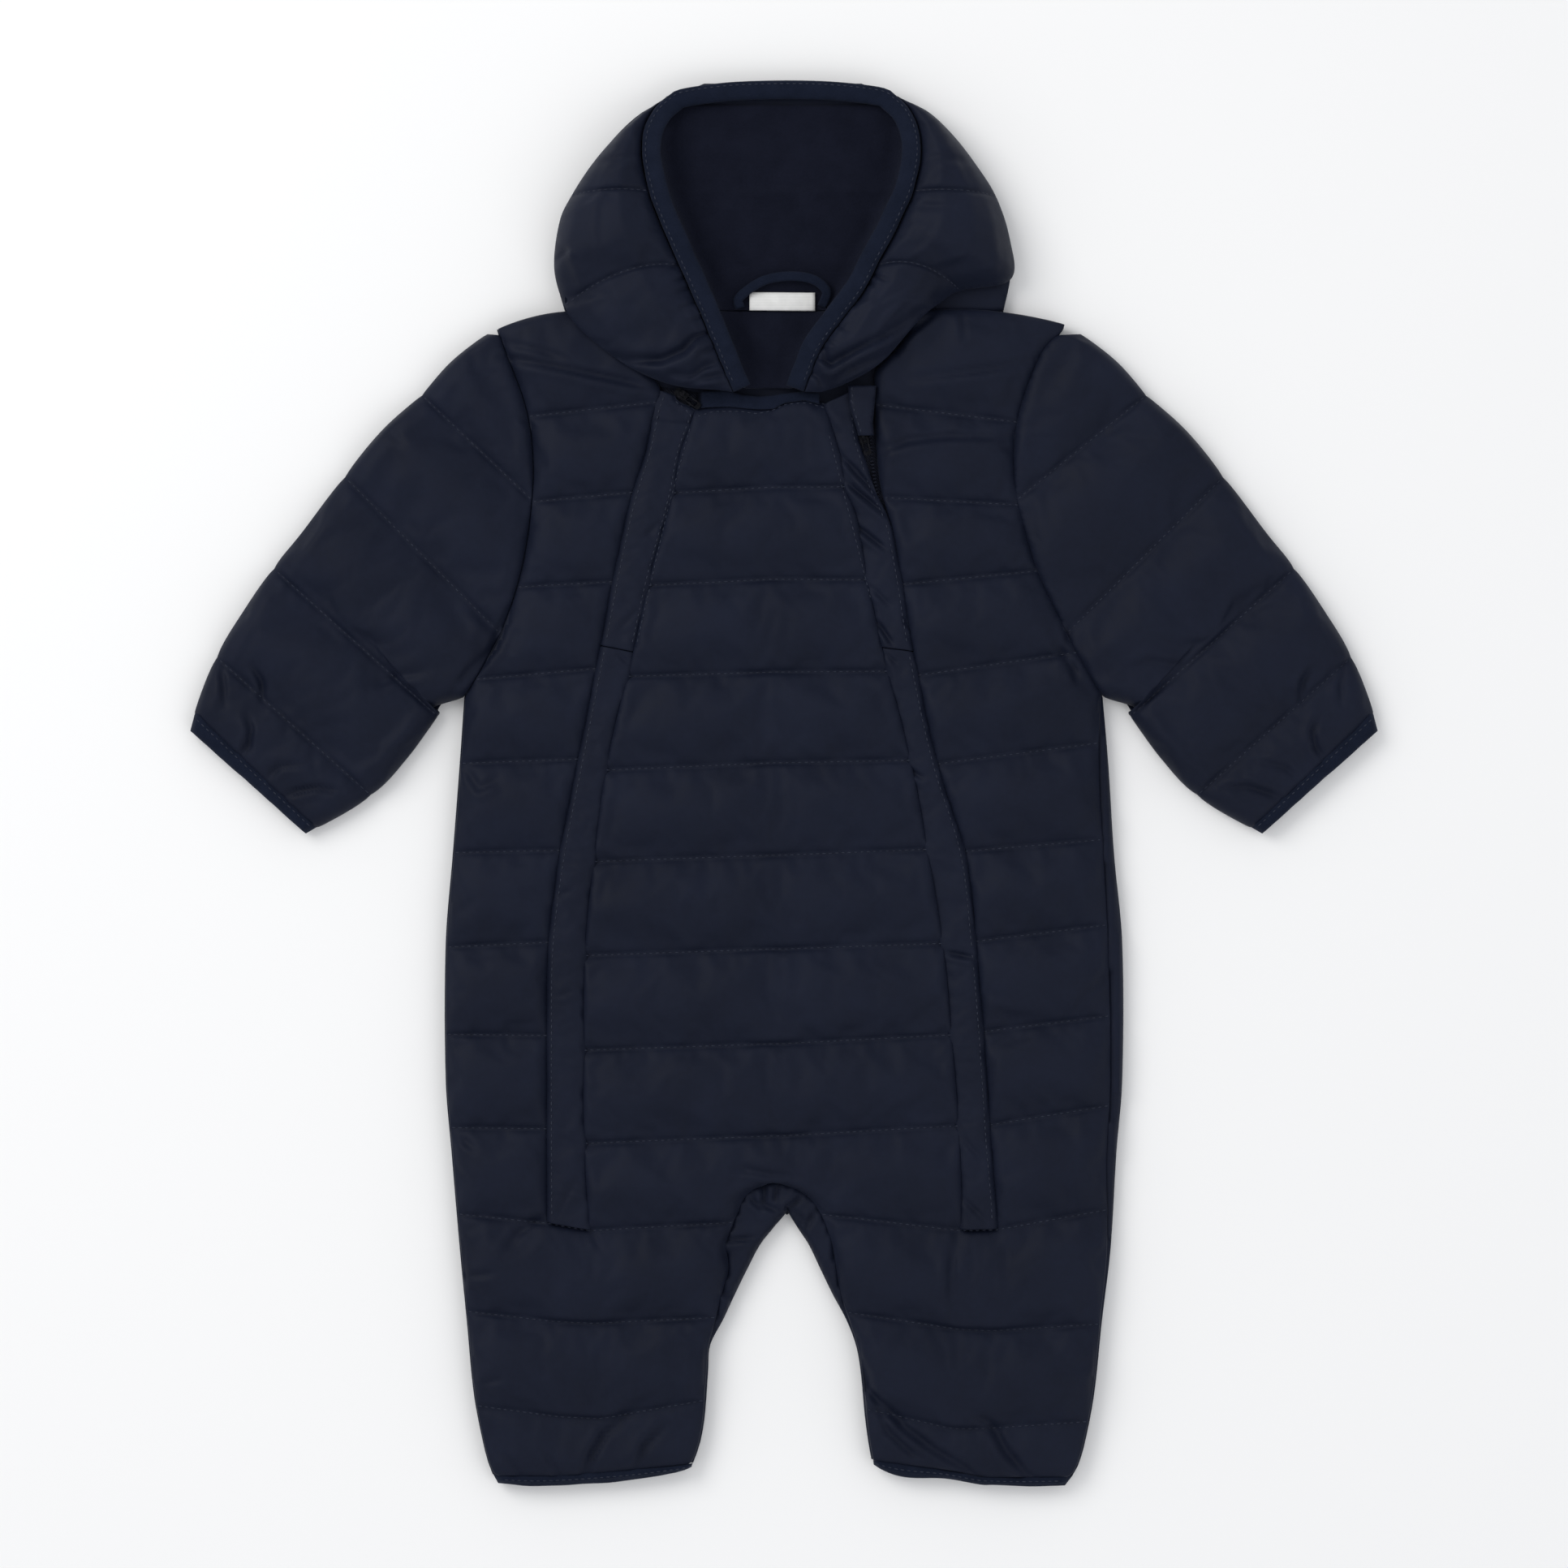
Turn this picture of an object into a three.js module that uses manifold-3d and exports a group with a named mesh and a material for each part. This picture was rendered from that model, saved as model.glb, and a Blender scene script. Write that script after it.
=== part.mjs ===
import * as THREE from "three";
import Module from "manifold-3d";

// A baby snowsuit lying on its back. Millimetres: X to the viewer's right as it is seen from
// above, Y towards the hood, Z up off the floor. Left and right are the viewer's.

// Heights of the layers
const backThick = 6.3;
const seamGap = 0.3;
const frontUnder = backThick + seamGap;
const frontLoft = 7.6;
const frontStitched = 3.1;
const rimThick = 2.2;
const zipEdgeThick = 3.6;
const tapeTop = 7.4;
const coilTop = 8.6;
const guardUnder = 9.2;
const guardThick = 3;
const hoodOverBody = 14.6;

// Lengths along the suit
const panelEndY = -281.2;
const neckY = 161;
const zipEndY = -187.7;
const guardSeamY = 58.3;
const crotchY = -168.7;
const gapApexY = -181;
const shoulderY = 196.5;
const underarmY = 38;

// Rows of quilting down the front, and where the rows of points lie inside one channel
const quiltLines = [161, 126.3, 87.3, 48, 9, -29.7, -68.7, -108.3, -149.7, -187.7, -227.4, -268.8];
const channelSteps = [0, 0.14, 0.5, 0.86];
const crotchSteps = [0, 0.14, 0.5, 0.62, 0.8, 0.92];

// Side edges of the body: the armhole seams above the underarm, the side seams below it
const armholes = [
  { y: 193.5, left: -122.2, right: 119 },
  { y: 185, left: -119.5, right: 110.5 },
  { y: 164, left: -111.5, right: 102 },
  { y: 147, left: -108, right: 98.5 },
  { y: 126, left: -107.5, right: 98.7 },
  { y: 95, left: -111.5, right: 106.6 },
  { y: 68, left: -119.5, right: 118.7 },
  { y: 54, left: -126.5, right: 126 },
  { y: 38, left: -136, right: 135.5 },
];
const sideSeams = [
  { y: 38, left: -136, right: 135.5, inset: 1.2 },
  { y: 9, left: -138, right: 138, inset: 4.5 },
  { y: -30, left: -141, right: 140.5, inset: 5 },
  { y: -68, left: -144, right: 144, inset: 6.5 },
  { y: -126, left: -144, right: 144, inset: 5.5 },
  { y: -157, left: -141.5, right: 141.5, inset: 4.5 },
  { y: -198, left: -138, right: 139, inset: 2 },
  { y: -229, left: -135, right: 135.3, inset: 1.2 },
  { y: -260, left: -132, right: 132, inset: 1.2 },
  { y: -281, left: -128, right: 128, inset: 1.2 },
  { y: -290, left: -125.6, right: 125.3, inset: 1.2 },
  { y: -295, left: -123.6, right: 122.6, inset: 1.2 },
  { y: -299, left: -121.4, right: 119.6, inset: 1.2 },
];
// Edges of the two slits in the front. Above the neck they are the neck edge of the side parts.
const slits = [
  { y: 201, leftOut: -86, leftIn: -34, rightIn: 16, rightOut: 56 },
  { y: 186, leftOut: -72, leftIn: -35, rightIn: 16, rightOut: 49 },
  { y: 177, leftOut: -60, leftIn: -36, rightIn: 16.5, rightOut: 39.5 },
  { y: 168, leftOut: -52.8, leftIn: -36.4, rightIn: 16.8, rightOut: 38.8 },
  { y: 160, leftOut: -54.9, leftIn: -36.8, rightIn: 17.3, rightOut: 38.9 },
  { y: 141, leftOut: -58.8, leftIn: -43.4, rightIn: 22.8, rightOut: 39.8 },
  { y: 126, leftOut: -63.5, leftIn: -46.2, rightIn: 26, rightOut: 41.6 },
  { y: 113, leftOut: -67, leftIn: -49.5, rightIn: 30.2, rightOut: 44.9 },
  { y: 87, leftOut: -72.5, leftIn: -56.6, rightIn: 34.8, rightOut: 49.8 },
  { y: 58, leftOut: -78, leftIn: -63, rightIn: 41, rightOut: 54.5 },
  { y: 9, leftOut: -87.6, leftIn: -74.6, rightIn: 53.4, rightOut: 65 },
  { y: -30, leftOut: -95.2, leftIn: -79.9, rightIn: 60.6, rightOut: 77 },
  { y: -69, leftOut: -100, leftIn: -83.8, rightIn: 66.9, rightOut: 81.6 },
  { y: -108, leftOut: -100.6, leftIn: -84.5, rightIn: 70.7, rightOut: 84.9 },
  { y: -150, leftOut: -100.6, leftIn: -84.4, rightIn: 73.8, rightOut: 87.6 },
  { y: -188, leftOut: -100.4, leftIn: -82.3, rightIn: 74.9, rightOut: 90.4 },
  { y: -228, leftOut: -98.5, leftIn: -80.5, rightIn: 73.5, rightOut: 89 },
  { y: -290, leftOut: -95, leftIn: -76, rightIn: 70, rightOut: 87 },
];
// Inside legs: the seam at the edge of the front, and the edge of the gap between the legs,
// where the back comes round
const insideLegs = [
  { y: -168.7, frontLeft: -4.5, frontRight: -4.5, gapLeft: -1, gapRight: -1 },
  { y: -173.3, frontLeft: -15, frontRight: 8, gapLeft: 0, gapRight: 0 },
  { y: -181, frontLeft: -19.5, frontRight: 15, gapLeft: 1.4, gapRight: 1.4 },
  { y: -188.6, frontLeft: -22.7, frontRight: 18.5, gapLeft: -4.3, gapRight: 5.7 },
  { y: -196, frontLeft: -25.2, frontRight: 21, gapLeft: -10.2, gapRight: 10.6 },
  { y: -206, frontLeft: -24, frontRight: 22.6, gapLeft: -15.5, gapRight: 15.4 },
  { y: -217, frontLeft: -27, frontRight: 24.6, gapLeft: -20.9, gapRight: 20.7 },
  { y: -228, frontLeft: -29.6, frontRight: 28.2, gapLeft: -26, gapRight: 26.6 },
  { y: -239, frontLeft: -32.6, frontRight: 31.8, gapLeft: -31.6, gapRight: 30.8 },
  { y: -250, frontLeft: -33.5, frontRight: 33.8, gapLeft: -32.5, gapRight: 32.8 },
  { y: -270, frontLeft: -35, frontRight: 35.7, gapLeft: -34, gapRight: 34.7 },
  { y: -281, frontLeft: -37, frontRight: 37.2, gapLeft: -36, gapRight: 36.2 },
  { y: -291, frontLeft: -40.5, frontRight: 39, gapLeft: -39.5, gapRight: 38 },
];
// How far each row of quilting climbs where it meets a long edge. The first row is the shoulder, the
// row at -168.7 is the top of the seam between the legs, and the last is the end of the panels.
// Each holds its own height and then one climb for each of the long edges.
const longEdges = [
  "leftSide", "leftOut", "leftIn", "frontLeft", "gapLeft",
  "gapRight", "frontRight", "rightIn", "rightOut", "rightSide",
];
const climbs = [
  [196.5, -3, 4.4, 3.7, 3.7, 3.7, 3.7, 3.7, 4, 4.4, -1.2],
  [161, -4.6, 1.5, -1.1, 0, 0, 0, 0, 0.4, 0.4, -7.1],
  [126.3, -6.2, -2.2, -2.5, 0, 0, 0, 0, 0.1, -4.4, -7.6],
  [87.3, -3.5, -1.2, -2.8, -0.2, -0.2, -0.2, -0.2, -0.4, -2.4, 3.4],
  [48, -3.5, 1.2, -2.2, -0.4, -0.4, -0.4, -0.4, 0, -1.8, 8],
  [9, -0.2, 1.6, -3.1, 0, 0, 0, 0, 1.1, -0.5, 8.4],
  [-29.7, 0.5, 1.5, -3.3, -0.6, -0.6, -0.6, -0.6, 1.9, 1, 6],
  [-68.7, -0.7, 1.4, -4.3, -1.5, -1.5, -1.5, -1.5, 0.9, 1.7, 8.7],
  [-108.3, 1.8, 1.3, -5, -2.2, -2.2, -2.2, -2.2, 1.6, 2.9, 9.6],
  [-149.7, 3.5, 3, -3.2, 0, 0, 0, 0, 4.3, 4.6, 12.8],
  [-168.7, 4, 1.9, -2.8, 0, 0, 0, 0, 1, 1.4, 9.6],
  [-187.7, 4.7, 0.8, -2.4, 1.2, 0, 0, 4.6, -2.4, -2, 6.5],
  [-227.4, 3, -1.2, -2, 0.4, 0.4, 2.6, 2.6, -4.5, -5.2, -2.4],
  [-268.8, 4.2, -0.3, -1.2, 6.5, 6.5, 2.8, 2.8, -5.5, -5.3, -2.5],
  [-281.2, -12.8, -13, -11.4, -7.8, -7.8, -6.4, -6.4, -10.6, -13.6, -13.3],
].map(([y, ...rises]) => Object.fromEntries([["y", y], ...longEdges.map((edge, k) => [edge, rises[k]])]));
// The neck edge of the middle panel: how far it stands above a straight line, from left to right
const neckWave = [
  { x: -37, rise: 0 },
  { x: -24, rise: 0.6 },
  { x: -11, rise: -1.1 },
  { x: -4.5, rise: -1 },
  { x: 0, rise: 1.4 },
  { x: 8.6, rise: 2.7 },
  { x: 15.6, rise: 0.6 },
  { x: 18, rise: 0 },
];
// The bindings of the hems, from the inside leg to the side: the seam and the free edge
const hems = {
  left: [
    { seamX: -39, seam: -289.5, edgeX: -39.4, edge: -290.9 },
    { seamX: -43.5, seam: -290.3, edgeX: -43.5, edge: -292.5 },
    { seamX: -50, seam: -291, edgeX: -50, edge: -293.9 },
    { seamX: -64, seam: -292.3, edgeX: -64, edge: -296.4 },
    { seamX: -83, seam: -293.9, edgeX: -83, edge: -298 },
    { seamX: -103, seam: -295, edgeX: -103, edge: -298.9 },
    { seamX: -123.4, seam: -294.8, edgeX: -121.7, edge: -297.9 },
  ],
  right: [
    { seamX: 38, seam: -288.2, edgeX: 38.2, edge: -289.9 },
    { seamX: 44.4, seam: -289.3, edgeX: 44.4, edge: -293.3 },
    { seamX: 52.3, seam: -290.4, edgeX: 52.3, edge: -295.2 },
    { seamX: 68, seam: -292.3, edgeX: 68, edge: -296 },
    { seamX: 82, seam: -295.1, edgeX: 82, edge: -298.1 },
    { seamX: 89, seam: -295.5, edgeX: 89, edge: -298.6 },
    { seamX: 102, seam: -295.7, edgeX: 102, edge: -298.9 },
    { seamX: 122.4, seam: -295.2, edgeX: 119.6, edge: -298.9 },
  ],
};
// Largest folds pressed into the top of the cloth: a line, its half width and its depth
const folds = [
  { x1: 52, y1: 158, x2: 78, y2: 151, half: 5, depth: 1.4 },
  { x1: 48, y1: 141, x2: 92, y2: 160, half: 6, depth: 1.6 },
  { x1: -79, y1: -200, x2: -82, y2: -186, half: 5, depth: 1.6 },
  { x1: 74, y1: -188, x2: 71, y2: -232, half: 5, depth: 1.8 },
  { x1: -62, y1: -266, x2: -86, y2: -292, half: 6, depth: 1.8 },
  { x1: 42, y1: -262, x2: 80, y2: -292, half: 6, depth: 1.8 },
  { x1: 92, y1: -274, x2: 108, y2: -296, half: 5, depth: 1.4 },
  { x1: -20, y1: -163, x2: 4, y2: -166, half: 6, depth: 2 },
];

// Half a sleeve row: its point on the top edge and the height of its end on the armhole, or,
// from the underarm on, its end on the underarm seam. Even rows are lines of quilting.
const sleeveRows = [
  { topX: 126.3, topY: 191.4, endX: 0, endY: 191 },
  { topX: 141, topY: 179, endX: 0, endY: 148 },
  { topX: 154, topY: 165.3, endX: 0, endY: 121 },
  { topX: 170.5, topY: 149.7, endX: 0, endY: 92 },
  { topX: 186.8, topY: 130.5, endX: 0, endY: 64 },
  { topX: 204.5, topY: 106.3, endX: 137, endY: 37.6 },
  { topX: 217, topY: 91.5, endX: 147.8, endY: 29.2 },
  { topX: 229.3, topY: 73, endX: 161.5, endY: 11.8 },
  { topX: 241.3, topY: 53.8, endX: 176.3, endY: -4.4 },
  { topX: 250.8, topY: 30.6, endX: 199.4, endY: -18.6 },
];
const cuffEnd = { topX: 252.9, topY: 22.7, endX: 203.7, endY: -21.1 };
const underarmRow = 5;
const sleeveSteps = [0, 0.3, 1, 1.7];

// The hood opening, from the neck to the crown: centre line of the binding, the outer edge of
// the hood side, and how high the side stands
const hoodRows = [
  { rimY: 168, leftRim: -17.8, rightRim: 4.8, leftX: -25, leftY: 167, rightX: 15.5, rightY: 166.2, high: 19 },
  { rimY: 177, leftRim: -21.8, rightRim: 8.2, leftX: -45, leftY: 168.8, rightX: 27, rightY: 170.3, high: 24 },
  { rimY: 187, leftRim: -26, rightRim: 12.6, leftX: -60, leftY: 174, rightX: 42, rightY: 179.5, high: 27 },
  { rimY: 199, leftRim: -31, rightRim: 21.4, leftX: -74, leftY: 182.5, rightX: 57, rightY: 196.5, high: 27 },
  { rimY: 212, leftRim: -36.5, rightRim: 31, leftX: -87, leftY: 193.5, rightX: 67, rightY: 205, high: 28 },
  { rimY: 222, leftRim: -41, rightRim: 36, leftX: -93.3, leftY: 203, rightX: 75, rightY: 209.8, high: 29 },
  { rimY: 234, leftRim: -46.4, rightRim: 42.6, leftX: -97.8, leftY: 219.5, rightX: 96.5, rightY: 214.5, high: 32 },
  { rimY: 245, leftRim: -51, rightRim: 47.8, leftX: -95.5, leftY: 239, rightX: 96, rightY: 232, high: 31 },
  { rimY: 252.5, leftRim: -53.4, rightRim: 51, leftX: -90.5, leftY: 250, rightX: 90.2, rightY: 249.8, high: 30 },
  { rimY: 265, leftRim: -56.1, rightRim: 53.8, leftX: -82, leftY: 263.2, rightX: 81.5, rightY: 263.7, high: 27 },
  { rimY: 275.5, leftRim: -55.7, rightRim: 53.5, leftX: -72, leftY: 275, rightX: 72, rightY: 276, high: 22 },
  { rimY: 284, leftRim: -52, rightRim: 50.2, leftX: -61, leftY: 285, rightX: 61.5, rightY: 286, high: 17 },
  { rimY: 289.6, leftRim: -46.5, rightRim: 45, leftX: -50.5, leftY: 291.2, rightX: 51, rightY: 291, high: 13 },
];
const hoodQuiltRows = [5, 8];
// The binding across the crown of the hood
const crownRows = [
  { x: -42, y: 291.8, z: 11.6 },
  { x: -24, y: 294.4, z: 10.4 },
  { x: -2, y: 295.3, z: 10 },
  { x: 20, y: 294.8, z: 10.4 },
  { x: 40, y: 292.4, z: 11.6 },
];
const hoodBackEdge = [
  { y: 298.4, left: -34, right: 33 },
  { y: 292, left: -49, right: 49 },
  { y: 285, left: -62, right: 61 },
  { y: 271, left: -76, right: 75 },
  { y: 257, left: -86, right: 84 },
  { y: 244, left: -93, right: 92 },
  { y: 230, left: -97, right: 96 },
  { y: 216, left: -97, right: 96.3 },
  { y: 201.3, left: -93.2, right: 93.3 },
];

// Points and small sums

const mix = (a, b, t) => a + (b - a) * t;
const clamp01 = (t) => Math.min(1, Math.max(0, t));
const ease = (t) => clamp01(t) ** 2 * (3 - 2 * clamp01(t));
const pair = (a, b, t) => [mix(a[0], b[0], t), mix(a[1], b[1], t)];

// A column of a table at height y, as a smooth curve through its rows, which run downwards
function curve(table, column, y) {
  const last = table.length - 1;
  if (y >= table[0].y) return table[0][column];
  if (y <= table[last].y) return table[last][column];
  let i = 0;
  while (table[i + 1].y > y) i++;
  const slope = (k) => {
    const above = table[Math.max(k - 1, 0)];
    const below = table[Math.min(k + 1, last)];
    return (below[column] - above[column]) / (below.y - above.y);
  };
  const from = table[i];
  const to = table[i + 1];
  const span = to.y - from.y;
  const t = (y - from.y) / span;
  const s = t * t * (3 - 2 * t);
  return (
    mix(from[column], to[column], s) +
    span * (t * (1 - t) * (1 - t) * slope(i) - t * t * (1 - t) * slope(i + 1))
  );
}

// The same in straight lines
function straight(table, column, y) {
  let i = 0;
  while (i < table.length - 2 && table[i + 1].y > y) i++;
  return mix(table[i][column], table[i + 1][column], clamp01((y - table[i].y) / (table[i + 1].y - table[i].y)));
}

// The same for a row between rows of a table that is counted instead of measured
function between(table, column, position) {
  const last = table.length - 1;
  const i = Math.min(Math.floor(position), last - 1);
  const t = position - i;
  const at = (k) => table[Math.min(Math.max(k, 0), last)][column];
  const slope = (k) => (at(k + 1) - at(k - 1)) / (k === 0 || k === last ? 1 : 2);
  const s = t * t * (3 - 2 * t);
  return mix(at(i), at(i + 1), s) + t * (1 - t) * (1 - t) * slope(i) - t * t * (1 - t) * slope(i + 1);
}

// Thickness near an edge: from the rim's own to the full one, rounded like the edge of a pillow
function rounded(rim, full, distance, reach) {
  const q = clamp01(distance / reach);
  return mix(rim, full, Math.sqrt(1 - (1 - q) ** 2));
}

const bulge = (f) => Math.sqrt(Math.sin(Math.PI * clamp01(f)));

function foldDepth(x, y) {
  let depth = 0;
  for (const f of folds) {
    const dx = f.x2 - f.x1;
    const dy = f.y2 - f.y1;
    const along = clamp01(((x - f.x1) * dx + (y - f.y1) * dy) / (dx * dx + dy * dy));
    const away = Math.hypot(x - f.x1 - along * dx, y - f.y1 - along * dy);
    depth = Math.max(depth, f.depth * (1 - ease(away / f.half)));
  }
  return depth;
}

// Solids

const suit = new THREE.Group();
const nylon = { color: 0x1b2030, roughness: 0.62, metalness: 0 };
const fleece = { color: 0x1f2536, roughness: 0.95, metalness: 0 };
const bindingCloth = { color: 0x1e2639, roughness: 0.85, metalness: 0 };
const zipCloth = { color: 0x171b28, roughness: 0.7, metalness: 0 };
const darkMetal = { color: 0x4a4c52, roughness: 0.3, metalness: 1 };
const whiteTape = { color: 0xf2f2f0, roughness: 0.8, metalness: 0 };

function addMesh(name, positions, triangles, finish) {
  let sixVolumes = 0;
  for (let i = 0; i < triangles.length; i += 3) {
    const [a, b, c] = [0, 1, 2].map((k) => positions[triangles[i + k]]);
    sixVolumes +=
      a[0] * (b[1] * c[2] - b[2] * c[1]) +
      a[1] * (b[2] * c[0] - b[0] * c[2]) +
      a[2] * (b[0] * c[1] - b[1] * c[0]);
  }
  const index = sixVolumes > 0 ? triangles : triangles.slice().reverse();
  const geometry = new THREE.BufferGeometry();
  geometry.setAttribute("position", new THREE.Float32BufferAttribute(positions.flat(), 3));
  geometry.setIndex(index);
  geometry.computeVertexNormals();
  const mesh = new THREE.Mesh(geometry, new THREE.MeshStandardMaterial(finish));
  mesh.name = name;
  suit.add(mesh);
}

// One closed wall from cells of four corners. A corner holds its outer and its inner point;
// corners with the same outer point are one, and an edge that only one cell has gets a rim.
function addWall(name, cells, finish) {
  const keys = new Map();
  const outer = [];
  const inner = [];
  const numberOf = (corner) => {
    const key = corner.out.map((v) => v.toFixed(3)).join();
    if (!keys.has(key)) {
      keys.set(key, outer.length);
      outer.push(corner.out);
      inner.push(corner.in);
    }
    return keys.get(key);
  };
  const faces = [];
  for (const cell of cells) {
    const [a, b, c, d] = cell.map(numberOf);
    for (const face of [[a, b, c], [a, c, d]])
      if (new Set(face).size === 3) faces.push(face);
  }
  const n = outer.length;
  const used = new Set();
  for (const f of faces) f.forEach((v, k) => used.add(v + "," + f[(k + 1) % 3]));
  const triangles = [];
  for (const f of faces) {
    triangles.push(...f, f[2] + n, f[1] + n, f[0] + n);
    f.forEach((v, k) => {
      const w = f[(k + 1) % 3];
      if (!used.has(w + "," + v)) triangles.push(w, v, v + n, w, v + n, w + n);
    });
  }
  addMesh(name, [...outer, ...inner], triangles, finish);
}

// Cells between rows of corners
function cellsBetween(rows) {
  const cells = [];
  for (let i = 1; i < rows.length; i++)
    for (let j = 1; j < rows[i].length; j++)
      cells.push([rows[i - 1][j - 1], rows[i - 1][j], rows[i][j], rows[i][j - 1]]);
  return cells;
}

// A solid with closed loops of points for its sections, and flat ends
function addLoft(name, loops, finish) {
  const size = loops[0].length;
  const positions = loops.flat();
  const triangles = [];
  for (let i = 0; i < loops.length - 1; i++)
    for (let k = 0; k < size; k++) {
      const a = i * size + k;
      const b = i * size + ((k + 1) % size);
      const c = (i + 1) * size + ((k + 1) % size);
      const d = (i + 1) * size + k;
      triangles.push(a, b, c, a, c, d);
    }
  const end = (loops.length - 1) * size;
  for (let k = 1; k < size - 1; k++) triangles.push(0, k + 1, k, end, end + k, end + k + 1);
  addMesh(name, positions, triangles, finish);
}

// Rows of the body: y0 is the row's own height, and puff how full the channel is there
function bodyRows() {
  const rows = [];
  const lines = [shoulderY, ...quiltLines, panelEndY];
  for (let i = 0; i + 1 < lines.length; i++) {
    const steps = lines[i + 1] === zipEndY ? crotchSteps : channelSteps;
    const short = Math.min(1, (lines[i] - lines[i + 1]) / 34);
    for (const f of steps) rows.push({ y0: mix(lines[i], lines[i + 1], f), puff: bulge(f) * short });
  }
  rows.push({ y0: panelEndY, puff: 0 });
  return rows;
}

// Where the long edges of the body cross a row
function crossings(y0) {
  const at = (edge, xOf) => {
    const y = y0 + straight(climbs, edge, y0);
    return [xOf(y), y];
  };
  const side = (column) => (y) => curve(y > underarmY ? armholes : sideSeams, column, y);
  const slit = (column) => (y) => curve(slits, column, y);
  const leg = (column) => (y) => curve(insideLegs, column, y);
  return {
    leftSide: at("leftSide", side("left")),
    leftOut: at("leftOut", slit("leftOut")),
    leftIn: at("leftIn", slit("leftIn")),
    frontLeft: at("frontLeft", leg("frontLeft")),
    gapLeft: at("gapLeft", leg("gapLeft")),
    gapRight: at("gapRight", leg("gapRight")),
    frontRight: at("frontRight", leg("frontRight")),
    rightIn: at("rightIn", slit("rightIn")),
    rightOut: at("rightOut", slit("rightOut")),
    rightSide: at("rightSide", side("right")),
  };
}

// How far the edge of the front stays inside the side seam of the back, on the right
const insetAt = (y) => (y > underarmY ? 0 : curve(sideSeams, "inset", y));
const leftInset = 1;

// Front: blocks between the long edges, with how far the shoulder's edge bows up in the middle
const sideEdge = { rim: rimThick, reach: 13 };
const zipEdge = { rim: zipEdgeThick, reach: 6 };
const legEdge = { rim: rimThick, reach: 9 };
const blocks = [
  { from: "leftSide", to: "leftOut", steps: [0, 0.04, 0.15, 0.5, 0.9, 1], bow: 2, when: () => true },
  { from: "leftOut", to: "leftIn", steps: [0, 1], bow: 0, when: (y) => y <= zipEndY },
  { from: "leftIn", to: "frontLeft", steps: [0, 0.08, 0.4, 0.8, 1], bow: 0, when: (y) => y <= neckY },
  { from: "frontRight", to: "rightIn", steps: [0, 0.2, 0.6, 0.92, 1], bow: 0, when: (y) => y <= neckY },
  { from: "rightIn", to: "rightOut", steps: [0, 1], bow: 0, when: (y) => y <= zipEndY },
  { from: "rightOut", to: "rightSide", steps: [0, 0.1, 0.5, 0.85, 0.96, 1], bow: 2.9, when: () => true },
];

function edgeKind(edge, y0) {
  if (edge.endsWith("Side")) return sideEdge;
  if (edge.startsWith("front")) return y0 < crotchY ? legEdge : null;
  return y0 > zipEndY ? zipEdge : null;
}

// How far the point of a row stands above the straight line between the edges of its block
function lift(row, block, x, step) {
  const shoulder = ease((row.y0 - 163) / (shoulderY - 163));
  const bowed = block.bow * 4 * step * (1 - step) * shoulder;
  const inMiddle = ["leftIn", "frontRight"].includes(block.from);
  if (row.y0 !== neckY || !inMiddle) return bowed;
  const i = neckWave.findIndex((spot) => spot.x > x);
  const [from, to] = [neckWave[i - 1], neckWave[i]];
  return mix(from.rise, to.rise, (x - from.x) / (to.x - from.x));
}

function frontCorner(row, ends, block, step) {
  const [x, level] = pair(ends[0], ends[1], step);
  const y = level + lift(row, block, x, step);
  const width = ends[1][0] - ends[0][0];
  const full = mix(frontStitched, frontLoft, row.puff);
  let thick = full;
  const leftKind = edgeKind(block.from, row.y0);
  const rightKind = edgeKind(block.to, row.y0);
  if (leftKind) thick = Math.min(thick, rounded(leftKind.rim, full, width * step, leftKind.reach));
  if (rightKind) thick = Math.min(thick, rounded(rightKind.rim, full, width * (1 - step), rightKind.reach));
  thick = Math.max(rimThick, thick - foldDepth(x, y));
  return { out: [x, y, frontUnder + thick], in: [x, y, frontUnder] };
}

function buildFront() {
  const cells = [];
  const rows = bodyRows();
  for (const block of blocks) {
    const corners = rows
      .filter((row) => block.when(row.y0))
      .map((row) => {
        const all = crossings(row.y0);
        const ends = [all[block.from].slice(), all[block.to].slice()];
        if (block.from === "leftSide") ends[0][0] += leftInset;
        if (block.to === "rightSide") ends[1][0] -= insetAt(ends[1][1]);
        return block.steps.map((step) => frontCorner(row, ends, block, step));
      });
    cells.push(...cellsBetween(corners));
  }
  addWall("front", cells, nylon);
}

// Back: flat where it rests, level under the front, rounded at the side seams, and brought up
// to the front's seam where it shows
const backRim = { under: 2.2, over: 5.2 };
const showing = 8.4;

// Corners of the back along one side seam, from the edge inwards
function backSide(edge, inward, inset) {
  const raised = inset > 2;
  const corner = (outIn, top, underIn, under) => ({
    out: [edge[0] + inward * outIn, edge[1], top],
    in: [edge[0] + inward * underIn, edge[1], under],
  });
  return [
    corner(0, backRim.over, 0, backRim.under),
    corner(0.45 * inset, raised ? showing - 0.6 : backThick - 0.3, 1.5, 0.9),
    corner(Math.max(inset - 0.45, 0.8), raised ? showing : backThick, 5, 0),
    corner(Math.max(inset - 0.25, 1), backThick, 7.5, 0),
  ];
}

// Corners of the back along one inside leg, from under the front to the gap
function backLeg(front, gap, y0, outward) {
  const open = y0 < gapApexY;
  const top = Math.abs(gap[0] - front[0]) > 3 ? showing : backThick;
  const corner = (x, y, over, under) => ({ out: [x, y, over], in: [x, y, under] });
  const half = mix(front[0], gap[0], 0.55);
  return [
    corner(front[0] + outward * 0.22, front[1], backThick, 0),
    corner(front[0] + outward * 0.42, front[1], top, 0),
    corner(half, gap[1], top, open ? 0.5 : 0),
    corner(gap[0], gap[1], open ? backRim.over : top, open ? backRim.under : 0),
  ];
}

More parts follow.
